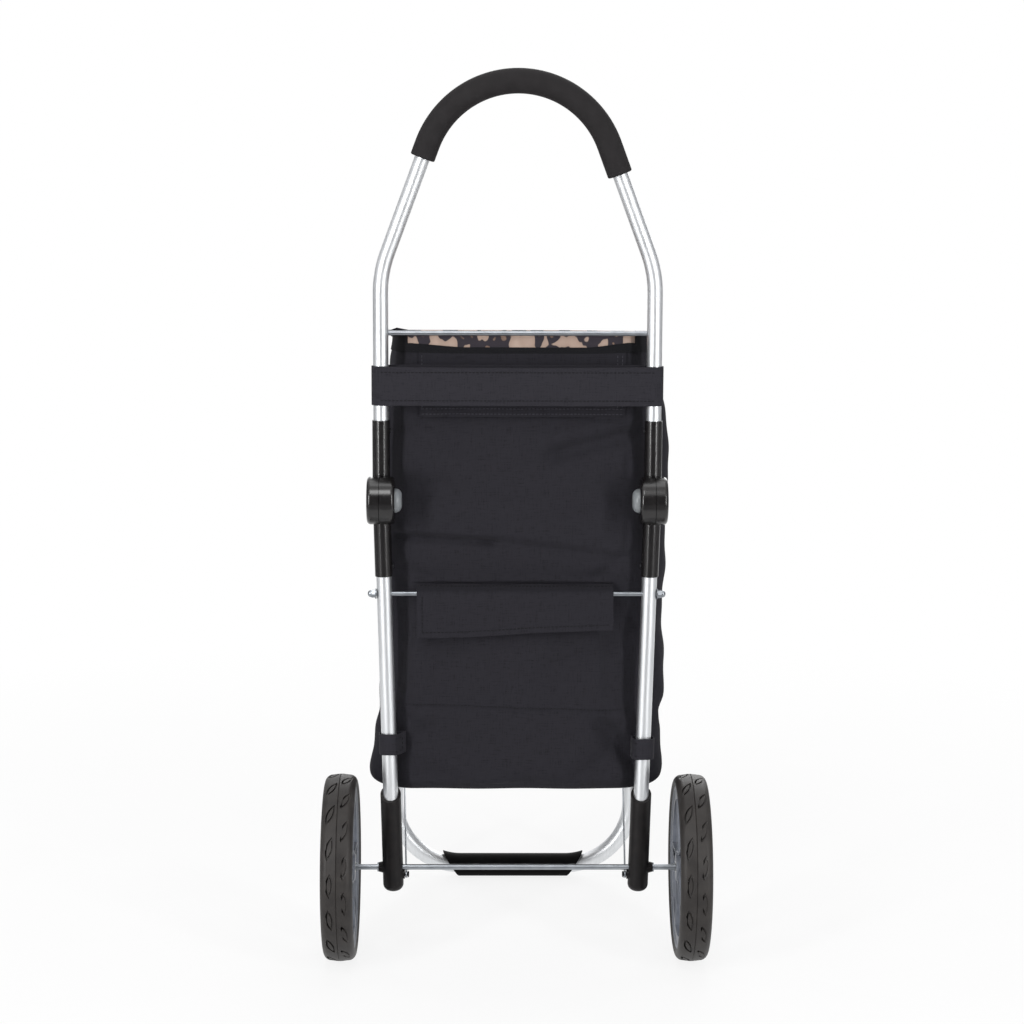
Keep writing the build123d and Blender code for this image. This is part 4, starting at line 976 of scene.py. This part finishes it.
# %% Webbing loops
TUBE_LEAN = math.radians(1.47)
for side_name, side in SIDES.items():
    loop_low, loop_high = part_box(f"bag_tube_strap_{side_name}")
    outer = max(abs(loop_low.x), abs(loop_high.x))
    inner = min(abs(loop_low.x), abs(loop_high.x))
    bend, short, shift = (11.4 * MM, 5 * MM, -1.5 * MM) if side > 0 else (10.2 * MM, 0, 3 * MM)
    middle = Vector((outer - 10.4 * MM, TUBE_Y))
    tip = Vector((inner + STRAP / 2 + short, BACK - 1.4 * MM))
    lean = math.degrees(math.atan2(tip.y - middle.y, tip.x - middle.x))
    touch = math.degrees(math.acos(bend / (tip - middle).length))
    drop_path = [tip] + arc(middle, bend, lean - touch, lean + touch - 360, 16) + [tip]
    centre = (loop_low.z + loop_high.z) / 2
    width = loop_high.z - loop_low.z - 1 * MM
    length = length_of(drop_path)
    loop = cut_strip(f"bag_loop_{side_name}", width, length, 3 * MM, strap_cloth)

    def loop_place(point, across, distance):
        height = centre + across + shift
        lean_in = (height - LOOP_HEIGHT) * math.tan(TUBE_LEAN)
        sag = 1.2 * MM * math.sin(point.x * 150) * ease(BACK - 6 * MM, BACK - 16 * MM, point.y)
        return Vector((side * (point.x + lean_in * ease(0.118, 0.126, point.x)), point.y, height + sag))

    fold(loop, drop_path, loop_place)
    finish_strip(loop, 1.4 * MM, "frame")
    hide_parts(f"bag_tube_strap_{side_name}")
    sewn_x = side * (inner + 4 * MM)
    heights = [centre + shift + up for up in (-7 * MM, 7 * MM)]
    loop_rows = [back_row(sewn_x, heights[0], sewn_x, heights[1])]
    loop_rows += [back_row(sewn_x, z, sewn_x + side * 8 * MM, z) for z in heights]
    loop_thread = sew(f"loop_stitches_{side_name}", loop, loop_rows)

# %% [markdown]
# ## Lid
# The lid is one printed panel with black side borders, sewn along the back edge of the bag. It slopes over the
# opening, sags a little there, turns down over the front and ends in a loose hem. The borders are wider at
# the back, so slanted planes cut the flat panel before it is folded, and the faces outside them are black.

# %% Lid
lid_low, lid_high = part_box("bag_lid")
LID = 2.0 * MM
LID_TAIL = 2.4 * MM  # behind the hinge line, so that the open lid shows no gap there
REAR_TOP = MOUTH + 0.6 * MM
FRONT_TOP = MOUTH - MOUTH_FALL + 0.8 * MM
FRONT = BACK + 206 * MM
LID_BEND = 10 * MM
slope = math.degrees(math.atan2(REAR_TOP - FRONT_TOP, FRONT - BACK))
lid_path = [Vector((BACK - LID_TAIL, REAR_TOP)), Vector((FRONT - LID_BEND, FRONT_TOP))]
lid_path += arc((FRONT - LID_BEND, FRONT_TOP - LID_BEND), LID_BEND, 90 - slope, 6)
lid_path += [Vector((lid_high.y - LID / 2, lid_low.z))]
LID_WIDTH = lid_high.x - lid_low.x
LID_LENGTH = length_of(lid_path)
lid = cut_strip("bag_lid_cloth", LID_WIDTH, LID_LENGTH, 6 * MM, spotted)
dress(lid, spotted, bag_cloth)
BORDER_RUN = 0.2
BORDERS = [(-0.114, -0.126), (0.121, 0.126)]  # places across, at the rear edge and this run farther on
for rear, front in BORDERS:
    cut(lid, (rear, 0, 0), (BORDER_RUN, rear - front, 0))


def is_border(face):
    spot = face.calc_center_median()
    edges = [rear + (front - rear) * spot.y / BORDER_RUN for rear, front in BORDERS]
    return spot.x < edges[0] or spot.x > edges[1] or spot.y > LID_LENGTH - 9 * MM


paint(lid, bag_cloth, is_border)


def lid_place(point, across, distance):
    y, z = point
    inside = (1 - ease(0.100, 0.132, abs(across))) * ease(0.0, 0.05, distance)
    inside *= 1 - ease(0.13, 0.19, distance)
    z -= inside * (3.5 + 1.0 * math.sin(across * 41 + 1) * math.sin(distance * 37)) * MM
    z -= (1 - ease(0.05, 0.2, distance)) * 0.6 * MM * ease(0.04, 0.12, across)
    pucker = math.exp(-(((across + 0.124) / 0.004) ** 2))  # at the rear left corner
    z += 3 * MM * pucker * (1 - ease(0.0, 0.03, distance))
    hang = ease(0.2, LID_LENGTH, distance)
    y += hang * (1.6 * math.sin(across * 44 + 0.6) + 1.0 * math.sin(across * 23)) * MM
    z += hang * 1.5 * MM * math.sin(across * 31)
    return Vector((across, y, z))


fold(lid, lid_path, lid_place)
finish_strip(lid, LID, "lid", lining=1)
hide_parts("bag_lid")
heights = (lid_low.z + 4 * MM, lid_low.z + 10 * MM)
lid_rows = [((-0.132, lid_high.y, height), (0.132, lid_high.y, height)) for height in heights]
lid_thread = sew("lid_hem_stitches", lid, lid_rows, OUT, "lid")
ASIDE = 1.02  # just outside the edge of the print
top_rows = []
for rear, front in BORDERS:
    top_rows.append(((rear * ASIDE, BACK + 4 * MM, REAR_TOP), (front * ASIDE, FRONT - 14 * MM, FRONT_TOP)))
top_thread = sew("lid_border_stitches", lid, top_rows, DOWN, "lid")

# %% [markdown]

# %% [markdown]
# ## Foam grip
# The grip is a foam tube pushed over the handle's arch. A ring spun round the arch's centre gives the bend
# with an even section all the way, and extruding its two ends gives the straight parts, longer at the right.
# A thickness towards the inside makes the bore, and a bevel rounds the two rims as cut foam is.

# %% Foam grip
# Foam rubber: matt and soft black, with fine pores that only roughen the shine.
foam = hard_finish(
    "Black foam rubber", "#1f1d1e", "#262425", (0.62, 0.8), 16 * MM, (1.3 * MM, 0.08 * MM), gloss=0.15
)
GRIP_RADIUS = 13 * MM
GRIP_WALL = 4.8 * MM
ARCH = Vector((0, TUBE_Y, 0.835))
ARCH_RADIUS = 0.100
FLARE = math.radians(20.45)
LEFT_END, RIGHT_END = 14.5 * MM, 32 * MM
up_left = Vector((math.sin(FLARE), 0, math.cos(FLARE)))
down_right = Vector((math.sin(FLARE), 0, -math.cos(FLARE)))
left_touch = ARCH + ARCH_RADIUS * Vector((-math.cos(FLARE), 0, math.sin(FLARE)))


def push(run, steps):
    """Extrudes the ring along a straight run in equal steps."""
    for _ in range(steps):
        bpy.ops.mesh.extrude_region_move(TRANSFORM_OT_translate={"value": run / steps})


clear_selection()
bpy.ops.mesh.primitive_circle_add(
    vertices=40, radius=GRIP_RADIUS, location=left_touch - up_left * LEFT_END, rotation=(0, FLARE, 0)
)
grip = start("foam_grip")
dress(grip, foam)
edit(grip)
bpy.ops.mesh.select_mode(type="VERT")
bpy.ops.mesh.select_all(action="SELECT")
push(up_left * LEFT_END, steps=3)
bpy.ops.mesh.spin(steps=56, angle=2 * FLARE - math.pi, center=ARCH, axis=(0, 1, 0))
push(down_right * RIGHT_END, steps=8)
tidy(grip)
apply(grip, "SOLIDIFY", thickness=GRIP_WALL, offset=-1)
apply(grip, "BEVEL", width=1.6 * MM, segments=3, limit_method="ANGLE", angle_limit=math.radians(50))
tidy(grip)
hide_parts("handle_grip")
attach(grip, "handle")
print("grip", len(grip.data.polygons), "faces")

# %% [markdown]
# ## Button springs
# The spring behind a push-button gets shorter when the button is pressed, which a stiff CAD piece can't do. A
# copy with its own mesh takes the place of each CAD spring.

# %% Button springs
for side_name, side in SIDES.items():
    cad_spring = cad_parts[f"button_spring_{side_name}"]
    spring = bpy.data.objects.new(f"press_spring_{side_name}", cad_spring.data.copy())
    scene.collection.objects.link(spring)
    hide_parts(cad_spring.name)
    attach(spring, "frame")
    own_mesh(spring)

# %% [markdown]
# ## Last step
# The one stitch that the rows were copied from is taken away.

bpy.data.objects.remove(stitch)
